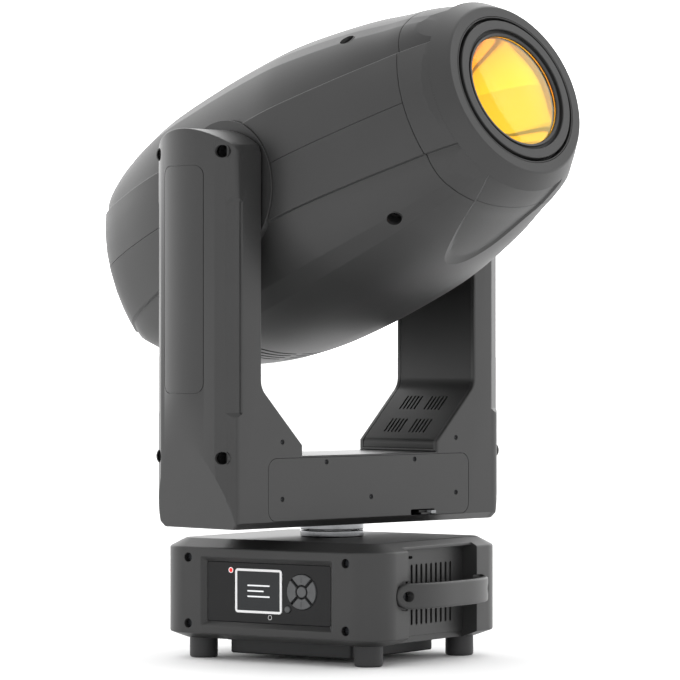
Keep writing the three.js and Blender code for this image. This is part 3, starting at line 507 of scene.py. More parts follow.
SHELL_PLASTIC = MouldedPlastic("moulded_shell", Slot.SHELL, "#272727", "#2b2b2b")
YOKE_PLASTIC = MouldedPlastic("moulded_yoke", Slot.YOKE, "#282828", "#2c2c2c", roughness=0.34)
DARK_PLASTIC = MouldedPlastic("moulded_dark", Slot.DARK, "#121212", "#151515", roughness=0.42)
# Near-black used as painted shade: sheets, discs and rings set in slots, gaps and grooves that are
# only in shade.
SHADE_BLACK = MouldedPlastic("painted_shade_black", Slot.DARK, "#060606", "#080808", roughness=0.6)
KEY_PLASTIC = MouldedPlastic("moulded_key", Slot.KEY, "#4b4c4d", "#515253", roughness=0.4)
PALE_TAB = MouldedPlastic("moulded_tab", Slot.KEY, "#8b8d8f", "#939597", roughness=0.4)
FOOT_RUBBER = MouldedPlastic("moulded_rubber", Slot.RUBBER, "#2b2b2c", "#2f2f30", roughness=0.6)
BELT_RUBBER = MouldedPlastic("belt_rubber", Slot.BELT, "#141414", "#181818", roughness=0.7)
PANEL_FACE = GlossPlate("printed_panel", Slot.GLOSS, "#101011", specular=0.25)
SOCKET_BLACK = GlossPlate("socket_black", Slot.GLOSS, "#0c0c0d", roughness=0.3)
SCREEN_FACE = GlossPlate("screen_glass", Slot.SCREEN, "#26282a", specular=0.25)
PRINT_WHITE = GlossPlate("printed_white", Slot.SCREEN, "#f2f2f2", roughness=0.4)
BOARD_GREEN = GlossPlate("solder_mask", Slot.BOARD, "#1d4a2e", roughness=0.35)
COLLAR_STEEL = Metal("polished_steel", Slot.COLLAR, "#8c8d8f", roughness=0.2)
ZINC_SHEET = Metal("zinc_plate", Slot.ZINC, "#9ea1a4", roughness=0.38)
ALUMINIUM = Metal("turned_aluminium", Slot.ALUMINIUM, "#b9bbbd", roughness=0.3)
BLACK_SCREW = Metal("blackened_steel", Slot.BLACK_STEEL, "#2c2d2f", roughness=0.34)
BLACK_STEEL = MouldedPlastic("painted_steel", Slot.BLACK_STEEL, "#242526", "#28292a", roughness=0.5)
CLEAR_GLASS = OpticalGlass("clear_glass", Slot.CLEAR, "#f4f7f8")
AMBER_GLASS = OpticalGlass("amber_glass", Slot.AMBER, "#fff2c4")
RED_LIGHT = Glow("red_light", Slot.SCREEN, "#ff1410", strength=1.2)
SCREEN_MARK = Glow("screen_mark", Slot.SCREEN, "#d8dadc", strength=0.4)


# ---------------------------------------------------------------------------------------------
# Shapes, in millimetres
# ---------------------------------------------------------------------------------------------


def turn_to(axis: Axis) -> Matrix:
    """Gives the matrix that lays a flat outline's normal along an axis.

    Args:
        axis: Where the outline's normal goes. An outline on Z is read as (x, y), on Y as
            (x, z) and on X as (y, z).

    Returns:
        The turn, as a 4 by 4 matrix.
    """
    if axis is Axis.X:
        return Matrix(((0, 0, 1, 0), (1, 0, 0, 0), (0, 1, 0, 0), (0, 0, 0, 1)))
    if axis is Axis.Y:
        return Matrix(((1, 0, 0, 0), (0, 0, 1, 0), (0, 1, 0, 0), (0, 0, 0, 1)))
    return Matrix.Identity(4)


def face_outwards(bm: bmesh.types.BMesh) -> bmesh.types.BMesh:
    """Merges doubles and points all faces outwards.

    Args:
        bm: The shape.

    Returns:
        The same shape.
    """
    bmesh.ops.remove_doubles(bm, verts=bm.verts, dist=0.005)
    bmesh.ops.recalc_face_normals(bm, faces=bm.faces)
    return bm


def block(low: Sequence[float], high: Sequence[float]) -> bmesh.types.BMesh:
    """Makes a box from its two corners.

    Args:
        low: Corner with the lowest coordinates.
        high: Corner with the highest.

    Returns:
        A closed box.
    """
    bm = bmesh.new()
    size = Vector(high) - Vector(low)
    middle = (Vector(high) + Vector(low)) / 2
    stretch = Matrix.Diagonal((*size, 1))
    bmesh.ops.create_cube(bm, size=1, matrix=Matrix.Translation(middle) @ stretch)
    return bm


def prism(points: Iterable[Point], low: float, high: float, axis: Axis) -> bmesh.types.BMesh:
    """Pushes a flat outline out between two places on an axis.

    Args:
        points: Corners of the outline in order.
        low: Where the prism starts.
        high: Where it ends.
        axis: The axis it runs along.

    Returns:
        A closed prism.
    """
    bm = bmesh.new()
    corners = [bm.verts.new((a, b, low)) for a, b in points]
    face = bm.faces.new(corners)
    pushed = bmesh.ops.extrude_face_region(bm, geom=[face])
    moved = [item for item in pushed["geom"] if isinstance(item, bmesh.types.BMVert)]
    bmesh.ops.translate(bm, vec=(0, 0, high - low), verts=moved)
    bmesh.ops.transform(bm, matrix=turn_to(axis), verts=bm.verts)
    return face_outwards(bm)


def turned(
    profile: Iterable[Point], axis: Axis = Axis.Z, steps: int = 96, closed: bool = False
) -> bmesh.types.BMesh:
    """Turns a profile of (radius, place) points about an axis.

    Args:
        profile: Points from axis to axis, or a loop away from the axis.
        axis: The axis of the turn.
        steps: Facets round the turn.
        closed: Whether the last point joins the first.

    Returns:
        A closed solid of revolution.
    """
    bm = bmesh.new()
    verts = [bm.verts.new((radius, 0, place)) for radius, place in profile]
    pairs = list(zip(verts, verts[1:]))
    if closed:
        pairs.append((verts[-1], verts[0]))
    edges = [bm.edges.new(pair) for pair in pairs]
    bmesh.ops.spin(
        bm,
        geom=verts + edges,
        cent=(0, 0, 0),
        axis=(0, 0, 1),
        dvec=(0, 0, 0),
        angle=math.tau,
        steps=steps,
        use_merge=True,
        use_normal_flip=False,
        use_duplicate=False,
    )
    bmesh.ops.transform(bm, matrix=turn_to(axis), verts=bm.verts)
    return face_outwards(bm)


def rod(
    radius: float, start: Sequence[float], end: Sequence[float], steps: int = 48
) -> bmesh.types.BMesh:
    """Makes a cylinder from one point to another.

    Args:
        radius: Its radius.
        start: Middle of one end.
        end: Middle of the other.
        steps: Facets round it.

    Returns:
        A closed cylinder.
    """
    bm = bmesh.new()
    way = Vector(end) - Vector(start)
    middle = (Vector(end) + Vector(start)) / 2
    turn = way.to_track_quat("Z", "Y").to_matrix().to_4x4()
    bmesh.ops.create_cone(
        bm,
        cap_ends=True,
        segments=steps,
        radius1=radius,
        radius2=radius,
        depth=way.length,
        matrix=Matrix.Translation(middle) @ turn,
    )
    return bm


def loft(rings: Sequence[Sequence[Vector]], capped: bool = True) -> bmesh.types.BMesh:
    """Lays a skin over rings with equal numbers of points.

    Args:
        rings: Closed rings of points, in order.
        capped: Whether both ends are closed.

    Returns:
        The skin.
    """
    count = len(rings[0])
    last = len(rings) - 1
    bm = bmesh.new()
    bmesh.ops.create_grid(bm, x_segments=count, y_segments=last, size=1)
    for vert in bm.verts:
        column = round((vert.co.x + 1) / 2 * count) % count
        row = round((vert.co.y + 1) / 2 * last)
        vert.co = rings[row][column]
    bmesh.ops.remove_doubles(bm, verts=bm.verts, dist=0.001)
    if capped:
        rim = [edge for edge in bm.edges if edge.is_boundary]
        bmesh.ops.holes_fill(bm, edges=rim, sides=0)
    return face_outwards(bm)


def arc_points(
    centre: Point, radius: float, start: float, end: float, steps: int
) -> list[Point]:
    """Gives points on an arc.

    Args:
        centre: Middle of the circle.
        radius: Its radius.
        start: First angle in degrees.
        end: Last angle in degrees.
        steps: Number of chords.

    Returns:
        Points in order, both ends included.
    """
    angles = [math.radians(start + (end - start) * i / steps) for i in range(steps + 1)]
    return [
        (centre[0] + radius * math.cos(a), centre[1] + radius * math.sin(a)) for a in angles
    ]


def eased_corner(
    before: Point, corner: Point, after: Point, reach: float, shares: Sequence[float]
) -> list[Point]:
    """Gives a small curve in place of a corner.

    Args:
        before: A point on the way in.
        corner: The corner itself.
        after: A point on the way out.
        reach: Distance from the corner at which the curve starts and ends.
        shares: How far along the curve each point lies, from 0 to 1.

    Returns:
        Points of the curve.
    """
    middle = Vector(corner)
    first = middle + (Vector(before) - middle).normalized() * reach
    last = middle + (Vector(after) - middle).normalized() * reach
    points = []
    for t in shares:
        spot = first * (1 - t) ** 2 + middle * (2 * t * (1 - t)) + last * t * t
        points.append((spot.x, spot.y))
    return points


def round_rect(
    centre: Point, half_a: float, half_b: float, radius: float, steps: int = 8
) -> list[Point]:
    """Gives the outline of a rectangle with round corners.

    Args:
        centre: Its middle.
        half_a: Half its width.
        half_b: Half its height.
        radius: Corner radius.
        steps: Chords in each corner.

    Returns:
        Points in order, anticlockwise.
    """
    points: list[Point] = []
    signs = ((1, -1, -90), (1, 1, 0), (-1, 1, 90), (-1, -1, 180))
    for side_a, side_b, start in signs:
        middle = (
            centre[0] + side_a * (half_a - radius),
            centre[1] + side_b * (half_b - radius),
        )
        points += arc_points(middle, radius, start, start + 90, steps)
    return points


def soften(
    bm: bmesh.types.BMesh,
    width: float,
    segments: int = 3,
    sharper_than: float = 30.0,
    where: Callable[[Vector], bool] | None = None,
) -> bmesh.types.BMesh:
    """Rounds the edges that are sharper than an angle.

    Args:
        bm: The shape.
        width: Width of the rounding.
        segments: Facets across it.
        sharper_than: Smallest angle between faces, in degrees, that is rounded.
        where: Optional test of an edge's middle point.

    Returns:
        The same shape.
    """
    limit = math.radians(sharper_than)
    edges = [
        edge
        for edge in bm.edges
        if len(edge.link_faces) == 2
        and edge.calc_face_angle(0.0) > limit
        and (where is None or where((edge.verts[0].co + edge.verts[1].co) / 2))
    ]
    bmesh.ops.bevel(
        bm,
        geom=edges,
        offset=width,
        offset_type="OFFSET",
        segments=segments,
        profile=0.5,
        affect="EDGES",
        clamp_overlap=False,
        material=-1,
    )
    return bm


def merged(*shapes: bmesh.types.BMesh) -> bmesh.types.BMesh:
    """Puts several shapes in one, without joining their solids.

    Args:
        *shapes: The shapes.

    Returns:
        One shape that holds them all.
    """
    bm = bmesh.new()
    for shape in shapes:
        mesh = bpy.data.meshes.new("part")
        shape.to_mesh(mesh)
        bm.from_mesh(mesh)
        bpy.data.meshes.remove(mesh)
    return bm


def placed(shape: bmesh.types.BMesh, matrix: Matrix) -> bmesh.types.BMesh:
    """Gives a moved copy of a shape.

    Args:
        shape: The shape, which stays as it is.
        matrix: The move.

    Returns:
        The moved copy.
    """
    copy = shape.copy()
    bmesh.ops.transform(copy, matrix=matrix, verts=copy.verts)
    return copy


def mirrored(shape: bmesh.types.BMesh, axis: Axis) -> bmesh.types.BMesh:
    """Gives the mirror image of a shape across the plane through zero.

    Args:
        shape: The shape, which stays as it is.
        axis: The axis that changes sign.

    Returns:
        The mirror image, facing outwards.
    """
    scale = [-1 if axis.value == letter else 1 for letter in "xyz"]
    copy = placed(shape, Matrix.Diagonal((*scale, 1)))
    bmesh.ops.reverse_faces(copy, faces=copy.faces)
    return copy


def on_side(shape: bmesh.types.BMesh, side: int) -> bmesh.types.BMesh:
    """Gives a shape made at +X, or its mirror image where the side is -1."""
    return mirrored(shape, Axis.X) if side < 0 else shape


def both_sides(shape: bmesh.types.BMesh, axis: Axis) -> bmesh.types.BMesh:
    """Gives a shape together with its mirror image."""
    return merged(shape, mirrored(shape, axis))


def loose_object(bm: bmesh.types.BMesh) -> bpy.types.Object:
    """Makes a scene object for a boolean.

    Args:
        bm: The shape.

    Returns:
        An object that holds it.
    """
    mesh = bpy.data.meshes.new("tool")
    bm.to_mesh(mesh)
    item = bpy.data.objects.new("tool", mesh)
    bpy.context.scene.collection.objects.link(item)
    return item


def carve(
    body: bmesh.types.BMesh, *tools: bmesh.types.BMesh, action: Action = Action.CUT
) -> bmesh.types.BMesh:
    """Cuts, joins or keeps the overlap of solids.

    Args:
        body: The solid to work on.
        *tools: The solids that meet it.
        action: What the tools do.

    Returns:
        A new solid.
    """
    target = loose_object(body)
    others = [loose_object(tool) for tool in tools]
    for other in others:
        modifier = target.modifiers.new("carve", "BOOLEAN")
        modifier.object = other
        modifier.operation = action.value
        modifier.solver = "EXACT"
    bpy.context.view_layer.update()
    result = bmesh.new()
    result.from_object(target, bpy.context.evaluated_depsgraph_get())
    for item in (target, *others):
        mesh = item.data
        bpy.data.objects.remove(item)
        bpy.data.meshes.remove(mesh)
    bmesh.ops.remove_doubles(result, verts=result.verts, dist=0.01)
    return result


def cross_screw(radius: float, recess: float = 0.9) -> bmesh.types.BMesh:
    """Makes a pan-head screw with a cross recess, its top at z = 0.

    Args:
        radius: Head radius.
        recess: Depth of the cross.

    Returns:
        The screw head.
    """
    head = turned(
        [(0, -1.6), (radius, -1.6), (radius, -0.5), (radius * 0.8, -0.1), (0, 0)], steps=20
    )
    arm = radius * 0.62
    slot = radius * 0.16
    cross = carve(
        block((-arm, -slot, -recess), (arm, slot, 1)),
        block((-slot, -arm, -recess), (slot, arm, 1)),
        action=Action.JOIN,
    )
    return carve(head, cross)


def screws_at(
    screw: bmesh.types.BMesh, spots: Iterable[tuple[Sequence[float], Sequence[float]]]
) -> bmesh.types.BMesh:
    """Sets a screw at each spot.

    Args:
        screw: One screw with its top at the origin, facing +Z.
        spots: Pairs of a point and the way the screw faces.

    Returns:
        All the screws in one shape.
    """
    copies = []
    for point, way in spots:
        turn = Vector(way).to_track_quat("Z", "Y").to_matrix().to_4x4()
        copies.append(placed(screw, Matrix.Translation(point) @ turn))
    return merged(*copies)


def cup(
    radius: float, wall: float, depth: float, mouth: Vector, way: Vector
) -> bmesh.types.BMesh:
    """Makes a round cup that lines a screw hole.

    Args:
        radius: Inner radius.
        wall: Thickness of its wall and floor.
        depth: Inner depth.
        mouth: Middle of its open end.
        way: Direction out of the hole.

    Returns:
        The cup.
    """
    profile = [(0, -depth - wall), (radius + wall, -depth - wall), (radius + wall, 0)]
    profile += [(radius, 0), (radius, -depth), (0, -depth)]
    turn = way.to_track_quat("Z", "Y").to_matrix().to_4x4()
    return placed(turned(profile, steps=48), Matrix.Translation(mouth) @ turn)


# ---------------------------------------------------------------------------------------------
# Pieces
# ---------------------------------------------------------------------------------------------


@dataclass(frozen=True)
class Place:
    """A body with its own axes: millimetres on them become metres in the frame."""

    body: str
    matrix: Matrix

    def riding(self, body: str) -> "Place":
        """Gives the same axes for a piece on another body."""
        return Place(body, self.matrix)


def make_piece(
    bm: bmesh.types.BMesh,
    name: str,
    place: Place,
    finish: Finish,
    stands_for: Sequence[str] = (),
    smooth_under: float = 32.0,
) -> bpy.types.Object:
    """Turns a shape into a dressed piece that rides on its body.

    Args:
        bm: The shape in the body's own millimetres.
        name: Name of the piece.
        place: Body and axes.
        finish: Its finish.
        stands_for: CAD nodes that it replaces.
        smooth_under: Edges under this angle, in degrees, are shaded smooth.

    Returns:
        The finished object.
    """
    mesh = bpy.data.meshes.new(name)
    bm.to_mesh(mesh)
    bm.free()
    mesh.transform(place.matrix)
    mesh.polygons.foreach_set("use_smooth", [True] * len(mesh.polygons))
    mesh.set_sharp_from_angle(angle=math.radians(smooth_under))
    mesh.materials.append(finish.material())
    piece = bpy.data.objects.new(name, mesh)
    bpy.context.scene.collection.objects.link(piece)
    even = piece.modifiers.new("even_shading", "WEIGHTED_NORMAL")
    even.keep_sharp = True
    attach(piece, place.body)
    if stands_for:
        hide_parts(*stands_for)
    log.info("%s: %d faces on %s", name, len(mesh.polygons), place.body)
    return piece


@dataclass(frozen=True)
class BaseBody:
    """Cast housing of the base with its plates, handles, feet and lower collar."""

    place: Place
    half_x: float = 148.2
    half_y: float = 128.0
    corner: float = 36.0
    bottom: float = 22.8
    skirt: float = 29.6
    shoulder: float = 124.4
    top: float = 133.9
    bottom_inset: float = 19.0
    chamfer: float = 18.5
    cavity: tuple[float, float, float, float] = (121.5, 115.0, 26.8, 129.6)
    pocket_half: float = 69.0
    pocket_x: float = 126.6
    pocket_lip: float = 140.4
    pocket_ceiling: float = 125.3
    seat_x: float = 143.2
    vent_x: float = 129.2
    plate_half: float = 82.0
    plate_bottom: float = 5.3
    foot_at: tuple[float, float] = (110.8, 91.3)
    foot_radius: float = 15.7
    panel_y: float = 122.4
    panel_half: float = 82.6
    panel_low: float = 43.6
    panel_high: float = 109.2
    recess_slope: float = 6.6
    screw_x: float = 105.4
    screw_heights: tuple[float, float] = (40.1, 113.0)
    handle_z: float = 76.6
    handle_width: float = 28.0
    handle_end: float = 91.3
    handle_crown: float = 171.5
    handle_thick: float = 9.0
    handle_fall: float = 15.5
    handle_screw_y: float = 80.0
    ring_radius: float = 35.6

    def ring(self, inset: float, height: float) -> list[Vector]:
        """Gives the plan outline of the housing at a height.

        Args:
            inset: Distance by which it is pulled in.
            height: Its height.

        Returns:
            A ring of points.
        """
        outline = round_rect(
            (0, 0), self.half_x - inset, self.half_y - inset, self.corner - inset, 14
        )
        return [Vector((x, y, height)) for x, y in outline]

    def outer_block(self) -> bmesh.types.BMesh:
        """Makes the housing's outer form with its chamfers rounded.

        Returns:
            The solid block.
        """
        body = loft(
            [
                self.ring(self.bottom_inset, self.bottom),
                self.ring(0, self.skirt),
                self.ring(0, self.shoulder),
                self.ring(self.chamfer, self.top),
            ]
        )
        return soften(body, 1.6, 3, 20)

    def side_pocket(self) -> list[bmesh.types.BMesh]:
        """Makes the tools that cut the space behind the handle at +X.

        Returns:
            The pocket, the space under its lip, the window behind the vents and the handle's seat.
        """
        far = self.half_x + 12
        half = self.pocket_half
        hollow = block((self.pocket_x, -half, 0), (far, half, self.pocket_ceiling))
        brow = block((self.pocket_lip, -half, 0), (far, half, self.top + 5))
        window = block(
            (self.cavity[0] - 2, -58, 38), (self.pocket_x + 2, 58, self.pocket_ceiling - 11)
        )
        margin = 1.6
        seat = prism(
            round_rect(
                (0, self.handle_z),
                self.handle_end + margin,
                self.handle_width / 2 + margin,
                self.handle_width / 2 + margin - 0.01,
                12,
            ),
            self.seat_x,
            far,
            Axis.X,
        )
        return [hollow, brow, window, seat]

    def panel_recess(self) -> list[bmesh.types.BMesh]:
        """Makes the tools that cut the sloped recess for the panel at -Y.

        Returns:
            The slope round the panel, the panel's seat and the window behind it.
        """
        middle = (self.panel_low + self.panel_high) / 2
        half_z = (self.panel_high - self.panel_low) / 2
        rings = []
        for spread, radius in ((0, 2.2), (self.recess_slope, 1.2)):
            outline = round_rect((0, middle), self.panel_half + spread, half_z + spread, radius, 4)
            rings.append([Vector((x, -self.panel_y - spread, z)) for x, z in outline])
        slope = loft(rings)
        seat = block(
            (-self.panel_half, -self.panel_y - 0.5, self.panel_low),
            (self.panel_half, -self.panel_y + 2.6, self.panel_high),
        )
        window = block(
            (-self.panel_half + 6, -self.panel_y + 2, self.panel_low + 6),
            (self.panel_half - 6, -self.cavity[1] + 2, self.panel_high - 6),
        )
        return [slope, seat, window]

    def screw_spots(self) -> list[tuple[Vector, Vector]]:
        """Gives the front and rear housing screws: a point on the wall and the way out.

        Returns:
            Eight pairs of point and way.
        """
        return [
            (Vector((x, side * self.half_y, z)), Vector((0, side, 0)))
            for side in SIDES
            for x in (-self.screw_x, self.screw_x)
            for z in self.screw_heights
        ]

    def build_housing(self) -> None:
        """Makes the housing."""
        half_x, half_y, low, high = self.cavity
        hollow = prism(round_rect((0, 0), half_x, half_y, 24, 8), low, high, Axis.Z)
        under = prism(round_rect((0, 0), 76, 76, 6, 4), 0, low + 1, Axis.Z)
        spindle = rod(27, (0, 0, high - 10), (0, 0, self.top + 10), 64)
        pocket = self.side_pocket()
        recess = self.panel_recess()
        tools = [hollow, under, spindle, *pocket, *recess]
        tools += [mirrored(tool, Axis.X) for tool in pocket]
        tools += [mirrored(tool, Axis.Y) for tool in recess]
        tools += [rod(5, point + way, point - way * 7, 32) for point, way in self.screw_spots()]
        body = carve(self.outer_block(), *tools)
        soften(body, 0.7, 2, 38)
        make_piece(body, "base_shell", self.place, SHELL_PLASTIC, ["base_housing"])

    def build_vent_panel(self, side: int) -> None:
        """Makes the slotted plate behind a handle, and the near-black sheet behind its slots that is
        painted shade.

        Args:
            side: 1 at +X or -1 at -X.
        """
        gap = 0.3
        half = self.pocket_half - gap
        high = self.pocket_ceiling - gap
        plate = block((self.pocket_x + gap, -half, 30), (self.vent_x, half, high))
        columns = 10
        pitch = 9.8
        slots = []
        for column in range(columns):
            y = (column - (columns - 1) / 2) * pitch
            for low, high in ((41.8, 70.0), (80.0, 108.1)):
                outline = round_rect((y, (low + high) / 2), 1.9, (high - low) / 2, 1.89, 5)
                slots.append(prism(outline, self.pocket_x - 2, self.vent_x + 2, Axis.X))
        notch = round_rect((-37, 116), 4.2, 1.5, 1.49, 5)
        slots.append(prism(notch, self.pocket_x - 2, self.vent_x + 2, Axis.X))
        plate = carve(plate, merged(*slots))
        soften(plate, 0.4, 2, 50)
        name = SIDE_NAMES[side]
        plate = on_side(plate, side)
        make_piece(plate, f"vent_plate_{name}", self.place, SHELL_PLASTIC, [f"vent_panel_{name}"])
        # The near-black sheet behind the slots is painted shade: it makes the slots read dark where
        # the cavity behind them is only in shade.
        shade_sheet = block((self.pocket_x - 2, -57, 39), (self.pocket_x - 1, 57, 119))
        shade_sheet = on_side(shade_sheet, side)
        make_piece(shade_sheet, f"dust_filter_{name}", self.place, SHADE_BLACK)

    def handle_ring(self, share: float) -> list[Vector]:
        """Gives the strap's section at a share of its half length, from -1 to 1.

        Args:
            share: Place along the strap; the middle is 0.

        Returns:
            A ring of points.
        """
        y = self.handle_end * math.sin(share * math.pi / 2)
        half = self.handle_width / 2
        past = max(abs(y) - (self.handle_end - half), 0.0)
        tall = max(math.sqrt(max(half**2 - past**2, 0.0)), 1.2)
        fall = self.handle_fall * abs(y / self.handle_screw_y) ** 3
        outside = self.handle_crown - fall
        inside = self.handle_crown - self.handle_thick - fall * 0.92
        inside = max(inside, self.seat_x + 0.3)
        deep = max((outside - inside) / 2, 1.2)
        middle = ((outside + inside) / 2, self.handle_z)
        outline = round_rect(middle, deep, tall, min(2.8, deep * 0.9, tall * 0.9), 4)
        return [Vector((x, y, z)) for x, z in outline]

    def build_handle(self, side: int) -> None:
        """Makes a strap handle and the screws at its ends.

        Args:
            side: 1 at +X or -1 at -X.
        """
        strap = loft([self.handle_ring(i / 40 - 1) for i in range(81)])
        holes = [
            rod(5.7, (150.5, y, self.handle_z), (190, y, self.handle_z), 40)
            for y in (-self.handle_screw_y, self.handle_screw_y)
        ]
        strap = carve(strap, merged(*holes))
        soften(strap, 0.5, 2, 60, lambda p: abs(abs(p.y) - self.handle_screw_y) < 6.2)
        ends = (-self.handle_screw_y, self.handle_screw_y)
        spots = [((152.3, y, self.handle_z), (1, 0, 0)) for y in ends]
        screws = screws_at(cross_screw(4.6, 1.2), spots)
        name = SIDE_NAMES[side]
        strap = on_side(strap, side)
        make_piece(strap, f"strap_{name}", self.place, SHELL_PLASTIC, [f"handle_{name}"])
        make_piece(on_side(screws, side), f"strap_screws_{name}", self.place, BLACK_SCREW)

    def build_feet(self) -> None:
        """Makes the four rubber feet."""
        wide = self.foot_radius
        profile = [(0, 0), (wide - 2.6, 0), (wide - 1.2, 0.5), (wide - 0.3, 1.4), (wide, 2.8)]
        profile += [(wide, self.bottom - 0.3), (0, self.bottom - 0.3)]
        corners = ((1, -1), (1, 1), (-1, 1), (-1, -1))
        for number, (side_x, side_y) in enumerate(corners, 1):
            foot = turned(profile, steps=64)
            spot = Vector((side_x * self.foot_at[0], side_y * self.foot_at[1], 0))
            foot = placed(foot, Matrix.Translation(spot))
            make_piece(foot, f"rubber_foot_{number}", self.place, FOOT_RUBBER, [f"foot_{number}"])

    def build_tray(self) -> None:
        """Makes the pressed steel mounting plate under the housing."""
        half = self.plate_half
        flange = prism(round_rect((0, 0), half + 3, half + 3, 6, 5), 20, self.bottom - 0.3, Axis.Z)
        tray = prism(round_rect((0, 0), half, half, 5, 5), self.plate_bottom, 21, Axis.Z)
        soften(tray, 2.2, 4, 60, lambda p: p.z < self.plate_bottom + 1)
        hollow = prism(round_rect((0, 0), 76, 76, 4, 5), self.plate_bottom + 3, 30, Axis.Z)
        tray = carve(tray, flange, action=Action.JOIN)
        tray = carve(tray, hollow)
        make_piece(tray, "mounting_tray", self.place, BLACK_STEEL, ["mounting_plate"])

    def build_collar(self) -> None:
        """Makes the lower half of the polished collar."""
        collar = turned(collar_profile(self.ring_radius, self.top + 0.3, 141.4), closed=True)
        make_piece(collar, "collar_lower", self.place, COLLAR_STEEL, ["pan_ring_lower"])

    def build_screws(self) -> None:
        """Makes the screws deep in the housing's front and rear."""
        spots = [(point - way * 3.4, way) for point, way in self.screw_spots()]
        screws = screws_at(cross_screw(4.2, 1.2), spots)
        make_piece(screws, "base_screws", self.place, BLACK_SCREW)

    def build(self) -> None:
        """Makes every piece of the base's body."""
        self.build_housing()
        for side in SIDES:
            self.build_vent_panel(side)
            self.build_handle(side)
        self.build_feet()
        self.build_tray()
        self.build_collar()
        self.build_screws()


def collar_profile(radius: float, low: float, high: float) -> list[Point]:
    """Gives the section of one collar ring: rounded lips and a shallow waist.

    Args:
        radius: Outer radius.
        low: Lower face.
        high: Upper face.

    Returns:
        A closed loop of (radius, place) points.
    """
    lip = 1.1
    outer = arc_points((radius - lip, low + lip), lip, -90, 0, 4)
    outer += arc_points((radius - lip, high - lip), lip, 0, 90, 4)
    return [(30.0, low), *outer, (30.0, high)]


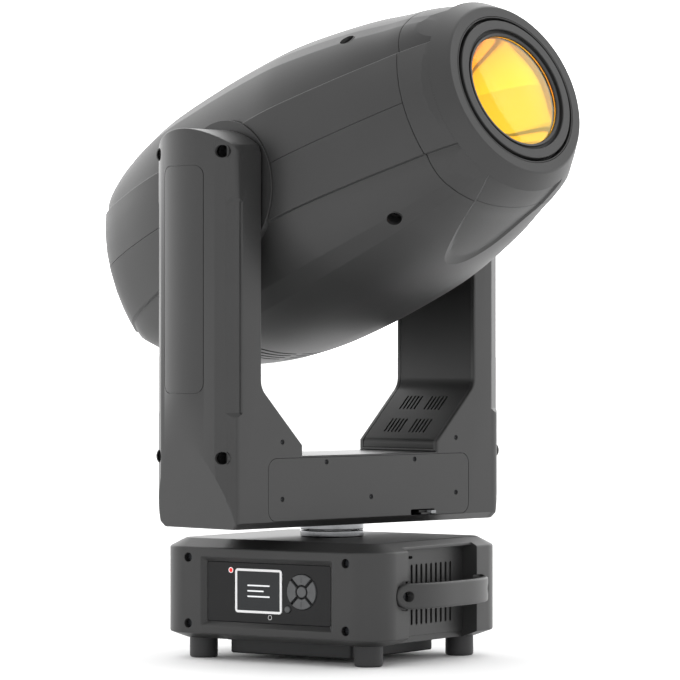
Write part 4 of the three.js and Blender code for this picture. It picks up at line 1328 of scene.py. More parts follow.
@dataclass(frozen=True)
class ControlPanel:
    """Gloss front plate with its display, keys and status light."""

    place: Place
    face_y: float = -122.4
    half_x: float = 82.6
    low: float = 43.6
    high: float = 109.2
    display: tuple[float, float, float, float] = (-45.2, 18.1, 53.9, 103.0)
    border: float = 3.0
    pad: Point = (44.9, 79.7)
    pad_radius: float = 19.0
    centre_radius: float = 6.0
    menu: Point = (26.0, 60.0)
    menu_radius: float = 3.6
    light: Point = (-50.7, 100.4)
    light_radius: float = 2.2
    microphone: Point = (2.0, 50.2)
    key_proud: float = 2.0

    def display_outline(self, inset: float) -> list[Point]:
        """Gives the display's rounded rectangle, pulled in by an inset.

        Args:
            inset: Distance by which it is pulled in.

        Returns:
            Points as (x, z).
        """
        left, right, low, high = self.display
        middle = ((left + right) / 2, (low + high) / 2)
        radius = max(4 - inset, 0.8)
        return round_rect(middle, (right - left) / 2 - inset, (high - low) / 2 - inset, radius, 6)

    def slab(self, outline: list[Point], proud: float, deep: float) -> bmesh.types.BMesh:
        """Pushes an outline out of the panel's face.

        Args:
            outline: Points as (x, z).
            proud: Height above the face.
            deep: Depth under the face.

        Returns:
            The slab.
        """
        return prism(outline, self.face_y - proud, self.face_y + deep, Axis.Y)

    def disc(self, centre: Point, radius: float, proud: float, deep: float) -> bmesh.types.BMesh:
        """Makes a round slab on the panel's face."""
        return self.slab(arc_points(centre, radius, 0, 352.5, 47), proud, deep)

    def ring(self, centre: Point, radius: float, width: float) -> bmesh.types.BMesh:
        """Makes a thin printed ring on the panel's face."""
        outer = self.disc(centre, radius, 0.08, 0.2)
        return carve(outer, self.disc(centre, radius - width, 1, 1))

    def build_plate(self) -> None:
        """Makes the plate with its openings, and a near-black disc behind the keys that is painted
        shade.
        """
        gap = 0.3
        middle = (0.0, (self.low + self.high) / 2)
        outline = round_rect(middle, self.half_x - gap, (self.high - self.low) / 2 - gap, 2, 5)
        plate = self.slab(outline, 0, 2.3)
        plate = carve(
            plate,
            self.slab(self.display_outline(0), 3, 5),
            self.disc(self.pad, self.pad_radius + 0.6, 3, 5),
            self.disc(self.menu, self.menu_radius + 0.5, 3, 5),
            self.disc(self.light, 3.2, 3, 5),
        )
        soften(plate, 0.25, 2, 50)
        make_piece(plate, "panel_plate", self.place, PANEL_FACE, ["control_panel"])
        # A near-black disc under the keys is painted shade in the gaps round the keys.
        well = self.disc(self.pad, self.pad_radius + 0.5, -2.0, 3.0)
        make_piece(well, "key_well", self.place, SHADE_BLACK)

    def build_display(self) -> None:
        """Makes the display's pale border, its screen and a plain menu on it."""
        frame = carve(
            self.slab(self.display_outline(0.3), 0.4, 5),
            self.slab(self.display_outline(self.border), 3, 8),
        )
        soften(frame, 0.3, 2, 50)
        make_piece(frame, "display_border", self.place, PRINT_WHITE, ["display_window"])
        screen = self.slab(self.display_outline(self.border + 0.05), -0.1, 5)
        make_piece(screen, "display_screen", self.place, SCREEN_FACE)
        left, right, low, high = self.display
        middle = ((left + right) / 2, (low + high) / 2)
        bars = []
        for row, half in enumerate((15.0, 11.0, 15.0)):
            spot = (middle[0] - 15 + half, middle[1] + 6 - row * 6)
            bars.append(self.slab(round_rect(spot, half, 0.8, 0.7, 3), -0.05, 0.3))
        make_piece(merged(*bars), "display_menu", self.place, SCREEN_MARK)

    def arc_key(self, middle: float) -> bmesh.types.BMesh:
        """Makes one arc-shaped key.

        Args:
            middle: The way it lies from the pad's centre, in degrees.

        Returns:
            The key with rounded edges and a line cut in its face.
        """
        half = 40.0
        inner = self.centre_radius + 2
        outline = arc_points(self.pad, self.pad_radius, middle - half, middle + half, 18)
        outline += arc_points(self.pad, inner, middle + half * 0.84, middle - half * 0.84, 10)
        key = self.slab(outline, self.key_proud, 3)
        soften(key, 0.7, 3, 40)
        reach = (self.pad_radius + inner) / 2
        line = round_rect((reach, 0), 3.2, 0.35, 0.3, 3)
        turn = math.radians(middle)
        line = [
            (
                self.pad[0] + a * math.cos(turn) - b * math.sin(turn),
                self.pad[1] + a * math.sin(turn) + b * math.cos(turn),
            )
            for a, b in line
        ]
        return carve(key, self.slab(line, self.key_proud + 1, 0.4 - self.key_proud))

    def round_key(self, centre: Point, radius: float) -> bmesh.types.BMesh:
        """Makes a round key with a slightly domed face.

        Args:
            centre: Its middle, as (x, z).
            radius: Its radius.

        Returns:
            The key, facing out of the panel.
        """
        profile = [(0, -3.2), (radius, -3.2), (radius, self.key_proud - 0.9)]
        profile += arc_points((radius - 0.9, self.key_proud - 0.9), 0.9, 15, 80, 4)
        profile += [(radius * 0.5, self.key_proud + 0.15), (0, self.key_proud + 0.25)]
        knob = turned(profile, steps=48)
        lay = Matrix.Rotation(math.radians(90), 4, "X")
        spot = Matrix.Translation((centre[0], self.face_y, centre[1]))
        return placed(knob, spot @ lay)

    def build_keys(self) -> None:
        """Makes the six keys, each on its own body."""
        angles = {"up": 90.0, "right": 0.0, "down": -90.0, "left": 180.0}
        for name, angle in angles.items():
            place = self.place.riding(f"key_{name}")
            make_piece(self.arc_key(angle), f"pad_{name}", place, KEY_PLASTIC, [f"key_{name}"])
        enter = self.place.riding("key_enter")
        knob = self.round_key(self.pad, self.centre_radius)
        make_piece(knob, "pad_enter", enter, KEY_PLASTIC, ["key_enter"])
        menu = self.place.riding("key_menu")
        knob = self.round_key(self.menu, self.menu_radius)
        make_piece(knob, "pad_menu", menu, KEY_PLASTIC, ["key_menu"])

    def build_marks(self) -> None:
        """Makes the status light, its pale ring and the microphone's ring."""
        lamp = self.disc(self.light, self.light_radius, 0.3, 2)
        soften(lamp, 0.3, 2, 50)
        make_piece(lamp, "status_light", self.place, RED_LIGHT)
        ring = carve(
            self.disc(self.light, 3.15, 0.25, 1.5), self.disc(self.light, self.light_radius, 3, 3)
        )
        make_piece(ring, "status_ring", self.place, PRINT_WHITE)
        mark = self.ring(self.microphone, 2.6, 0.45)
        make_piece(mark, "microphone_ring", self.place, PRINT_WHITE)

    def build(self) -> None:
        """Makes every piece of the panel."""
        self.build_plate()
        self.build_display()
        self.build_keys()
        self.build_marks()


@dataclass(frozen=True)
class Socket:
    """One round connector: its node, place, radius, mouth and pins."""

    node: str
    x: float
    radius: float
    mouth: float
    pins: int
    finish: Finish


@dataclass(frozen=True)
class RearPanel:
    """Connector plate in the back of the base."""

    place: Place
    face_y: float = 122.4
    half_x: float = 82.6
    low: float = 43.6
    high: float = 109.2
    socket_z: float = 76.4
    flange: float = 2.6
    sockets: tuple[Socket, ...] = (
        Socket("power_inlet", -52.0, 13.8, 9.5, 3, SOCKET_BLACK),
        Socket("data_socket_in", 0.0, 12.3, 8.0, 5, ZINC_SHEET),
        Socket("data_socket_out", 48.0, 12.3, 8.0, 5, ZINC_SHEET),
    )

    def build_plate(self) -> None:
        """Makes the plate with its three holes."""
        gap = 0.3
        middle = (0.0, (self.low + self.high) / 2)
        outline = round_rect(middle, self.half_x - gap, (self.high - self.low) / 2 - gap, 2, 5)
        plate = prism(outline, self.face_y - 2.3, self.face_y, Axis.Y)
        near, far, z = self.face_y - 9, self.face_y + 9, self.socket_z
        holes = [rod(s.radius, (s.x, near, z), (s.x, far, z)) for s in self.sockets]
        plate = carve(plate, merged(*holes))
        soften(plate, 0.3, 2, 50)
        make_piece(plate, "connector_plate", self.place, DARK_PLASTIC, ["rear_panel"])

    def build_socket(self, socket: Socket) -> None:
        """Makes a socket with its flange, mouth, pins and screws.

        Args:
            socket: Which socket.
        """
        face = self.face_y + self.flange
        x, z = socket.x, self.socket_z
        half = socket.radius + 3.5
        flange = prism(round_rect((x, z), half, half, 4, 5), self.face_y + 0.3, face, Axis.Y)
        soften(flange, 0.5, 2, 50)
        barrel = rod(socket.radius - 0.3, (x, self.face_y - 20, z), (x, self.face_y + 1, z), 64)
        body = carve(flange, barrel, action=Action.JOIN)
        mouth = rod(socket.mouth, (x, face - 12, z), (x, face + 3, z), 64)
        body = carve(body, mouth)
        soften(body, 0.5, 2, 60, lambda p: p.y > face - 0.2)
        make_piece(body, f"{socket.node}_body", self.place, socket.finish, [socket.node])
        pins = []
        for i in range(socket.pins):
            angle = math.radians(90 + 360 * (i + 0.5) / socket.pins)
            reach = socket.mouth * 0.55
            spot = Vector((x + reach * math.cos(angle), face - 12.5, z + reach * math.sin(angle)))
            pins.append(rod(0.9, spot, spot + Vector((0, 9, 0)), 12))
        make_piece(merged(*pins), f"{socket.node}_pins", self.place, ALUMINIUM)
        corner = socket.radius * 0.98
        spots = [((x + s * corner, face + 1.0, z - s * corner), (0, 1, 0)) for s in SIDES]
        screws = screws_at(cross_screw(1.9, 0.6), spots)
        make_piece(screws, f"{socket.node}_screws", self.place, BLACK_SCREW)

    def build(self) -> None:
        """Makes the plate and its sockets."""
        self.build_plate()
        for socket in self.sockets:
            self.build_socket(socket)


@dataclass(frozen=True)
class Yoke:
    """U-shaped frame with its covers, plates, locks and upper collar."""

    place: Place
    bottom: float = 149.7
    skirt: float = 156.7
    half_x: float = 205.0
    bottom_x: float = 199.0
    half_y: float = 62.0
    arm_inner: float = 166.5
    gusset_top: float = 301.8
    gusset_x: float = 105.0
    gusset_low: float = 239.2
    crossbar_top: float = 227.4
    arm_top: float = 581.7
    crown: float = 21.5
    cover_centre: float = 137.8
    cover_radius: float = 91.3
    cover_wall: float = 3.0
    wrap_x: float = 196.0
    hollow_half: float = 51.0
    corner_reach: float = 6.0
    cover_slope: tuple[Point, Point] = ((204.3, 158.0), (229.5, 245.3))
    facet_low: float = 275.5
    facet_high: float = 501.0
    facet_run: float = 7.5
    plate: tuple[float, float, float, float] = (191.2, 157.0, 34.3, 12.0)
    plate_thick: float = 2.3
    tilt_z: float = 518.0
    hub_hole: float = 36.0
    seat_depth: float = 2.6
    seat_half: float = 56.0
    seat_top: float = 556.0
    lock_z: float = 160.4
    tilt_lock_z: float = 450.0
    ring_radius: float = 35.6

    def side_outline(self, inset: float = 0.0, spread: float = 0.0) -> list[Point]:
        """Gives an arm seen from the side, as (y, z): crowned top and chamfered foot.

        Args:
            inset: Distance by which it is pulled in.
            spread: Extra half width, which keeps two tools off one plane.

        Returns:
            Points as (y, z).
        """
        half = self.half_y - inset + spread
        top = self.arm_top - inset
        radius = (half * half + self.crown * self.crown) / (2 * self.crown)
        lean = math.degrees(math.asin(half / radius)) * 0.93
        points = [(-half + 7, self.bottom + inset), (half - 7, self.bottom + inset)]
        points += [(half, self.skirt + inset), (half, top - self.crown - 6)]
        points += arc_points((0, top - radius), radius, 90 - lean, 90 + lean, 24)
        points += [(-half, top - self.crown - 6), (-half, self.skirt + inset)]
        return points

    def front_outline(self) -> list[Point]:
        """Gives the frame seen from the front, as (x, z).

        Returns:
            Points as (x, z), right side first.
        """
        corner = eased_corner(
            (self.arm_inner, self.arm_top + 5),
            (self.arm_inner, self.gusset_top),
            (self.gusset_x, self.gusset_low),
            9,
            SMOOTH_CURVE,
        )
        right = [(self.bottom_x, self.bottom), (self.half_x, self.bottom + 6)]
        right += [(self.half_x, self.arm_top + 5), (self.arm_inner, self.arm_top + 5)]
        right += corner
        right += [(self.gusset_x, self.gusset_low), (self.gusset_x, self.crossbar_top)]
        return right + [(-x, z) for x, z in reversed(right)]

    def edge_wedge(self) -> bmesh.types.BMesh:
        """Makes the four tools that cut the vertical facets of the arms' outer edges.

        Returns:
            The four tools in one shape.
        """
        corner = Vector((self.half_x, self.half_y, 0))
        on_face = Vector((-11.3, 0, 0))
        on_cover = Vector((9.1, -9.9, 0))
        rings = []
        heights = (
            (self.facet_low - self.facet_run, 0.05),
            (self.facet_low, 1.0),
            (self.facet_high, 1.0),
            (self.facet_high + self.facet_run, 0.05),
        )
        for z, size in heights:
            lift = Vector((0.4, 0.4, 0)) * (1 - size)
            points = [corner + on_face * size + lift, corner + on_cover * size + lift]
            points.append(corner + Vector((30, 30, 0)))
            rings.append([Vector((p.x, p.y, z)) for p in points])
        wedge = loft(rings)
        pair = both_sides(wedge, Axis.Y)
        return both_sides(pair, Axis.X)

    def plate_outline(self, inset: float) -> list[Point]:
        """Gives the crossbar plate's outline, pulled in by an inset."""
        z, half_x, half_z, corner = self.plate
        return round_rect((0, z), half_x - inset, half_z - inset, corner - inset, 8)

    def lock_slot(self) -> bmesh.types.BMesh:
        """Makes the tool that cuts the pan lock's slot."""
        outline = round_rect((82, self.lock_z), 19.2, 3.4, 2.0, 4)
        return prism(outline, -self.half_y - 6, -40, Axis.Y)

    def inner_path(self, shift: float, low: float, high: float) -> list[Point]:
        """Gives the inner surface of an arm seen from the front, moved into the wall.

        Args:
            shift: Distance into the wall.
            low: Lower end.
            high: Upper end.

        Returns:
            Points as (x, z) with rounded bends.
        """
        drop = shift / (1 + math.sqrt(2))
        foot = (self.gusset_x + shift, low)
        knee = (self.gusset_x + shift, self.gusset_low - drop)
        bend = (self.arm_inner + shift, self.gusset_top - drop)
        head = (self.arm_inner + shift, high)
        path = [foot]
        path += eased_corner(foot, knee, bend, 4, SMOOTH_CURVE)
        path += eased_corner(knee, bend, head, 9, SMOOTH_CURVE)
        path.append(head)
        return path

    def inner_strip(
        self, near: float, far: float, half: float, low: float, high: float
    ) -> bmesh.types.BMesh:
        """Makes a bent strip along an arm's inner surface, at +X.

        Args:
            near: Depth of its visible face in the wall.
            far: Depth of its back.
            half: Half its width.
            low: Lower end.
            high: Upper end.

        Returns:
            The strip.
        """
        front = self.inner_path(near, low, high)
        back = self.inner_path(far, low, high)
        return prism(front + back[::-1], -half, half, Axis.Y)

    def build_frame(self) -> None:
        """Makes the cast frame."""
        body = prism(self.front_outline(), -self.half_y, self.half_y, Axis.Y)
        sides = prism(self.side_outline(), -self.half_x - 1, self.half_x + 1, Axis.X)
        body = carve(body, sides, action=Action.KEEP)
        soften(body, 2.2, 3, 50, lambda p: abs(p.x) < self.half_x - 1.5)
        outside = block((self.wrap_x + 2, -90, 0), (260, 90, 700))
        body = carve(body, both_sides(outside, Axis.X))
        seat = self.plate_thick + 0.3
        plate_seat = prism(self.plate_outline(-0.2), self.half_y - seat, self.half_y + 5, Axis.Y)
        inner_seat = self.inner_strip(-9, self.seat_depth, self.seat_half, 230.4, self.seat_top)
        cross = block((-150, -self.half_y + 5, 162), (150, self.half_y - 5, 221))
        arm_side = prism(self.side_outline(6), self.arm_inner + 6.5, self.half_x + 5, Axis.X)
        arm = carve(arm_side, block((100, -90, 176), (300, 90, 620)), action=Action.KEEP)
        hub = rod(self.hub_hole, (150, 0, self.tilt_z), (200, 0, self.tilt_z), 96)
        spindle = rod(28, (0, 0, self.bottom - 5), (0, 0, 170), 64)
        tilt_slot = block((184, 40, self.tilt_lock_z - 20), (190, 68, self.tilt_lock_z + 20))
        body = carve(
            body,
            both_sides(plate_seat, Axis.Y),
            both_sides(inner_seat, Axis.X),
            cross,
            both_sides(arm, Axis.X),
            both_sides(hub, Axis.X),
            spindle,
            self.edge_wedge(),
            self.lock_slot(),
            tilt_slot,
            self.screw_holes(self.crossbar_top, self.arm_top),
        )
        make_piece(body, "yoke_casting", self.place, YOKE_PLASTIC, ["yoke_frame"])

    def frame_screws(self) -> list[Point]:
        """Gives the small screws on the crossbar's faces, as (x, z).

        Returns:
            Seven spots.
        """
        spots = [(0.0, 180.0)]
        for side in SIDES:
            spots += [(side * 136.0, 243.0), (side * 136.0, 181.0), (side * 69.0, 220.0)]
        return spots

    def screw_holes(self, low: float, high: float) -> bmesh.types.BMesh:
        """Makes the tools for the crossbar's screws between two heights.

        Args:
            low: Lowest screw that counts.
            high: Highest one.

        Returns:
            The holes' tools in one shape.
        """
        holes = [
            rod(2.9, (x, side * (self.half_y - 1.2), z), (x, side * (self.half_y + 3), z), 24)
            for side in SIDES
            for x, z in self.frame_screws()
            if low < z < high
        ]
        return merged(*holes)

    def build_frame_screws(self) -> None:
        """Makes the small cross screws on the crossbar's faces."""
        spots = [
            ((x, side * (self.half_y - 0.5), z), (0, side, 0))
            for side in SIDES
            for x, z in self.frame_screws()
        ]
        screws = screws_at(cross_screw(2.3, 0.8), spots)
        make_piece(screws, "crossbar_screws", self.place, BLACK_SCREW)

    def cover_screws(self) -> list[tuple[float, float]]:
        """Gives the outer cover's screws, as (y, z)."""
        return [(side * 50.0, z) for side in SIDES for z in (227.0, 555.5)]

    def cover_x(self, y: float, z: float) -> float:
        """Gives how far out the cover's surface lies at a point.

        Args:
            y: Place across the arm.
            z: Height.

        Returns:
            The surface's X, on the round back or on the slope at its foot.
        """
        round_x = self.cover_centre + math.sqrt(self.cover_radius**2 - y * y)
        (low_x, low_z), (high_x, high_z) = self.cover_slope
        slope_x = low_x + (z - low_z) * (high_x - low_x) / (high_z - low_z)
        return min(round_x, slope_x)

    def cover_plan(self, inset: float, steps: int) -> list[Point]:
        """Gives the cover seen from above: a round back that wraps onto the arm's faces.

        Args:
            inset: Distance by which it is pulled in.
            steps: Chords in half of the back.

        Returns:
            Points as (x, y).
        """
        radius = self.cover_radius - inset
        half = self.half_y + 0.04 - inset
        start = self.wrap_x - (6 if inset else 0)
        meet = self.cover_centre + math.sqrt(radius**2 - half**2)
        lean = math.degrees(math.asin(half / radius))
        arc = arc_points((self.cover_centre, 0), radius, 0, lean, steps)
        near = math.degrees(self.corner_reach / radius)
        kept = [p for i, p in enumerate(arc) if i * lean / steps < lean - near]
        edge = (start, half)
        eased = eased_corner(kept[-1], (meet, half), edge, self.corner_reach, SMOOTH_CURVE)
        quarter = kept + eased + [edge]
        return quarter + [(x, -y) for x, y in reversed(quarter[1:])]

    def cover_solid(self, inset: float, steps: int) -> bmesh.types.BMesh:
        """Makes the cover's filled form at +X, pulled in by an inset.

        Args:
            inset: Distance by which it is pulled in.
            steps: Chords in half of the back.

        Returns:
            The filled form.
        """
        plan = self.cover_plan(inset, steps)
        body = prism(plan, self.bottom, self.arm_top + 5, Axis.Z)
        sides = prism(self.side_outline(inset, 0.4), self.wrap_x - 10, 260, Axis.X)
        body = carve(body, sides, action=Action.KEEP)
        (low_x, low_z), (high_x, high_z) = self.cover_slope
        lift = 2.0 if inset else 0.0
        gradient = (high_x - low_x) / (high_z - low_z)
        slope = [
            (low_x - inset - 20 * gradient, low_z + lift - 20),
            (300, low_z - 20),
            (300, high_z + lift + 10),
            (high_x - inset + (10 + lift) * gradient, high_z + lift + 10),
        ]
        return carve(body, prism(slope, -90, 90, Axis.Y))

    def cover_groove(self) -> bmesh.types.BMesh:
        """Makes the tool that cuts the thin outline groove in a cover's back.

        Returns:
            The tool at +X.
        """
        middle = (296 + 541) / 2
        outer = round_rect((0, middle), 31.4, 122.9, 11.4, 8)
        inner = round_rect((0, middle), 30.6, 122.1, 10.6, 8)
        rim = carve(prism(outer, 180, 260, Axis.X), prism(inner, 170, 270, Axis.X))
        plan = arc_points((self.cover_centre, 0), self.cover_radius - 0.8, -70, 70, 64)
        core = prism(plan, 100, 700, Axis.Z)
        return carve(rim, core)

    def build_outer_cover(self, side: int) -> None:
        """Makes the round-backed cover of an arm with its screws, and darker cups in the screw holes
        that are painted shade.

        Args:
            side: 1 at +X or -1 at -X.
        """
        cover = self.cover_solid(0, 72)
        soften(cover, 1.8, 3, 40, lambda p: p.x > self.wrap_x + 2)
        holes = []
        spots = []
        for y, z in self.cover_screws():
            x = self.cover_x(y, z)
            holes.append(rod(6.7, (x - 6, y, z), (x + 20, y, z), 48))
            spots.append((Vector((x - 10.6, y, z)), Vector((1, 0, 0))))
        middle = block((180, -self.hollow_half, 0), (260, self.hollow_half, 700))
        cover = carve(
            cover,
            carve(self.cover_solid(self.cover_wall, 40), middle, action=Action.KEEP),
            self.edge_wedge(),
            self.cover_groove(),
        )
        cover = carve(cover, merged(*holes))
        soften(cover, 0.5, 2, 50, self.near_screw)
        screws = screws_at(cross_screw(4.6, 1.2), spots)
        # The cups are the holes' walls and floors; their darker plastic is painted shade inside the
        # holes.
        cups = merged(*[cup(6.7, 1.4, 9, spot + Vector((8, 0, 0)), way) for spot, way in spots])
        name = SIDE_NAMES[side]
        cover = on_side(cover, side)
        make_piece(cover, f"arm_cover_{name}", self.place, YOKE_PLASTIC, [f"outer_cover_{name}"])
        make_piece(on_side(screws, side), f"arm_cover_screws_{name}", self.place, BLACK_SCREW)
        make_piece(on_side(cups, side), f"arm_cover_cups_{name}", self.place, DARK_PLASTIC)

    def near_screw(self, point: Vector) -> bool:
        """Tells whether a point lies by the mouth of a cover's screw hole.

        Args:
            point: Middle of an edge of the cover.

        Returns:
            Whether the edge gets rounded.
        """
        for y, z in self.cover_screws():
            away = math.hypot(point.y - y, point.z - z)
            if abs(away - 6.7) < 0.4 and point.x > self.cover_x(y, z) - 4:
                return True
        return False

    def build_inner_cover(self, side: int) -> None:
        """Makes the dark cover on an arm's inner side with its vents.

        Args:
            side: 1 at +X or -1 at -X.
        """
        gap = 0.3
        low, high = 230.4 + gap, self.seat_top - gap
        strip = self.inner_strip(0.2, self.seat_depth - gap, self.seat_half - gap, low, high)
        hub = rod(self.hub_hole + 2, (140, 0, self.tilt_z), (200, 0, self.tilt_z), 96)
        strip = carve(strip, hub, self.inner_vents())
        soften(strip, 0.5, 2, 60)
        name = SIDE_NAMES[side]
        strip = on_side(strip, side)
        make_piece(strip, f"arm_lining_{name}", self.place, DARK_PLASTIC, [f"inner_cover_{name}"])

    def inner_vents(self) -> bmesh.types.BMesh:
        """Makes the tools for the vent slots in the sloped part of an inner cover.

        Returns:
            The tools at +X in one shape.
        """
        top = Vector((self.arm_inner, 0, self.gusset_top))
        foot = Vector((self.gusset_x, 0, self.gusset_low))
        along = (foot - top).normalized()
        outward = Vector((-along.z, 0, along.x))
        length = (foot - top).length
        lay = Matrix((along, Vector((0, 1, 0)), outward)).transposed().to_4x4()
        slots = []
        for share in (0.32, 0.73):
            for group in SIDES:
                for k in range(5):
                    y = group * 19.5 + (k - 2) * 5.7
                    outline = round_rect((length * share, y), 10.5, 1.1, 1.05, 4)
                    slot = prism(outline, -8, 8, Axis.Z)
                    slots.append(placed(slot, Matrix.Translation(top) @ lay))
        return merged(*slots)

    def build_crossbar_plate(self, side: int) -> None:
        """Makes the plate that closes the crossbar.

        Args:
            side: 1 at the back (+Y) or -1 at the front.
        """
        near = self.half_y - self.plate_thick
        plate = prism(self.plate_outline(0.25), near, self.half_y, Axis.Y)
        soften(plate, 0.5, 2, 60, lambda p: p.y > self.half_y - 0.3)
        if side < 0:
            plate = mirrored(plate, Axis.Y)
        plate = carve(plate, self.lock_slot(), self.screw_holes(self.bottom, self.crossbar_top))
        name = "rear" if side > 0 else "front"
        node = f"crossbar_cover_{name}"
        make_piece(plate, f"crossbar_plate_{name}", self.place, YOKE_PLASTIC, [node])

    def build_locks(self) -> None:
        """Makes the pan lock's lever and tab, and the tilt lock's blade."""
        place = self.place.riding("pan_lock")
        front = -self.half_y
        low = self.lock_z
        curve = arc_points((82, low - 32), 31.5, 62, 112, 14)
        under = arc_points((82, low - 35.5), 31.5, 112, 62, 14)
        lever = prism(curve + under, front - 0.6, front + 8, Axis.Y)
        in_slot = block((79, front - 4, low - 2.6), (99, front + 12, low + 2.6))
        lever = carve(lever, in_slot, action=Action.KEEP)
        blade = block((80, front + 4, low - 1.8), (98, -42, low + 1.8))
        make_piece(merged(lever, blade), "pan_lock_lever", place, DARK_PLASTIC, ["pan_lock"])
        tab = prism(round_rect((96.4, low - 0.2), 4, 1.8, 1.0, 4), front - 3.2, front + 5, Axis.Y)
        soften(tab, 0.5, 2, 60)
        make_piece(tab, "pan_lock_tab", place, PALE_TAB)
        place = self.place.riding("tilt_lock")
        high = self.tilt_lock_z
        blade = block((185, 42, high - 18.5), (189, self.half_y + 1.2, high + 1.5))
        tab = block((185, self.half_y + 1, high - 6.5), (189, self.half_y + 4, high + 1.5))
        soften(tab, 0.6, 2, 50)
        make_piece(blade, "tilt_lock_blade", place, DARK_PLASTIC, ["tilt_lock"])
        make_piece(tab, "tilt_lock_tab", place, PALE_TAB)

    def build_collar(self) -> None:
        """Makes the upper half of the polished collar."""
        profile = collar_profile(self.ring_radius, 142.2, self.bottom - 0.3)
        collar = turned(profile, closed=True)
        make_piece(collar, "collar_upper", self.place, COLLAR_STEEL, ["pan_ring_upper"])

    def build(self) -> None:
        """Makes every piece of the yoke."""
        self.build_frame()
        self.build_frame_screws()
        for side in SIDES:
            self.build_outer_cover(side)
            self.build_inner_cover(side)
            self.build_crossbar_plate(side)
        self.build_locks()
        self.build_collar()


@dataclass(frozen=True)
class Station:
    """Outer form of the head at one place along the beam."""

    along: float
    width: float
    height: float
    bow: float


@dataclass(frozen=True)
class Head:
    """Head with its two shells, nose, lens, hubs and rear grille."""

    place: Place
    stations: tuple[Station, ...] = (
        Station(-270, 104, 84, 15),
        Station(-258, 116, 97, 14),
        Station(-232, 138, 118, 12.5),
        Station(-180, 154, 138, 9),
        Station(-112, 163, 151, 3),
        Station(-40, 163, 155.5, 0.6),
        Station(40, 163, 154, 0.6),
        Station(90, 161, 150, 2),
        Station(170, 145, 136.5, 7),
        Station(222, 131, 123, 11),
        Station(246, 123.4, 117.5, 12),
        Station(272, 115.0, 108.3, 17),
        Station(304, 103.0, 94.5, 26),
    )
    back: float = -270.0
    seam: float = 246.0
    face: float = 298.0
    face_radius: float = 96.0
    cone: float = 0.7115
    ring_back: float = 279.0
    bore: float = 84.8
    wall: float = 3.0
    side_half: float = 57.5
    side_spread: float = 6.2
    side_step: float = 4.0
    facet_angles: tuple[float, float] = (33.5, 45.0)
    flank_bulge: float = 3.5
    crown_power: float = 2.2
    hub_radius: float = 75.0
    hub_face: float = 164.6
    shaft_radius: float = 22.0
    shaft_bore: float = 14.0
    shaft_ends: tuple[float, float] = (210.0, 200.0)
    scoop_tip: float = 145.0
    scoop_depth: float = 2.6
    scoop_width: float = 7.6
    scoop_power: float = 0.42
    screw_along: float = 177.0
    louvre_first: float = -112.0
    louvre_pitch: float = 9.5
    louvre_rows: int = 4
    lens_radius: float = 61.5
    lens_edge: float = 294.8
    lens_rise: float = 7.0

    def station(self, along: float) -> Station:
        """Gives the head's form between two listed stations, on smooth curves.

        Args:
            along: Place on the beam's axis.

        Returns:
            The form there.
        """
        table = self.stations
        last = len(table) - 1
        i = max(k for k in range(last) if table[k].along <= along or k == 0)
        first, second = table[i], table[i + 1]
        span = second.along - first.along
        t = (along - first.along) / span
        values = []
        for name in ("width", "height", "bow"):
            ends = getattr(first, name), getattr(second, name)
            slopes = []
            for k in (i, i + 1):
                near, far = table[max(k - 1, 0)], table[min(k + 1, last)]
                rise = getattr(far, name) - getattr(near, name)
                slopes.append(rise / (far.along - near.along) * span)
            h = (2 * t**3 - 3 * t**2 + 1, t**3 - 2 * t**2 + t, 3 * t**2 - 2 * t**3, t**3 - t**2)
            values.append(h[0] * ends[0] + h[1] * slopes[0] + h[2] * ends[1] + h[3] * slopes[1])
        return Station(along, *values)

    def panel_half(self, along: float) -> float:
        """Gives half the height of the side panel, which widens toward the rear.

        Args:
            along: Place on the beam's axis.

        Returns:
            Half the height.
        """
        share = min(max((-60 - along) / 140, 0.0), 1.4)
        return self.side_half + self.side_spread * share

    def corners(self, at: Station) -> tuple[Point, Point, Point, Point]:
        """Gives a quarter section's corners: panel edge, ledge, and the facet's two ends.

        Args:
            at: Form of the head there.

        Returns:
            Four points as (x, y).
        """
        half = self.panel_half(at.along)
        edge = (at.width - at.bow, half)
        ledge = (edge[0] - self.side_step, half + 1)
        rise = at.height - ledge[1]
        ends = []
        for angle in self.facet_angles:
            turn = math.radians(angle)
            ends.append((ledge[0] * math.cos(turn), ledge[1] + rise * math.sin(turn)))
        return edge, ledge, ends[0], ends[1]

    def crown_height(self, at: Station, x: float) -> float:
        """Gives the height of the crowned top at a distance from the middle.

        Args:
            at: Form of the head there.
            x: Distance from the middle.

        Returns:
            The height.
        """
        _, _, _, facet = self.corners(at)
        return at.height - (at.height - facet[1]) * (abs(x) / facet[0]) ** self.crown_power

    def quarter(self, at: Station) -> list[Point]:
        """Gives the section's first quarter from the side to the top, as (x, y).

        Args:
            at: Form of the head there.

        Returns:
            Points from the side to the top.
        """
        edge, ledge, low, high = self.corners(at)
        half = edge[1]
        side = [(at.width - at.bow * part * part, half * part) for part in (0, 0.3, 0.6, 0.8)]
        flank = []
        way = Vector(low) - Vector(ledge)
        out = Vector((way.y, -way.x)).normalized()
        for i in range(1, 7):
            part = i / 7
            spot = Vector(ledge) + way * part + out * (self.flank_bulge * 4 * part * (1 - part))
            flank.append((spot.x, spot.y))
        crown = []
        for i in range(1, 12):
            x = high[0] * (1 - i / 12)
            crown.append((x, self.crown_height(at, x)))
        path: list[Point] = list(side)
        path += eased_corner(side[-1], edge, ledge, 1.3, FINE_CURVE)
        path += eased_corner(edge, ledge, flank[0], 1.3, FINE_CURVE)
        path += flank
        path += eased_corner(flank[-1], low, high, 1.4, FINE_CURVE)
        path += eased_corner(low, high, crown[0], 1.4, FINE_CURVE)
        path += crown
        path.append((0.0, at.height))
        return path

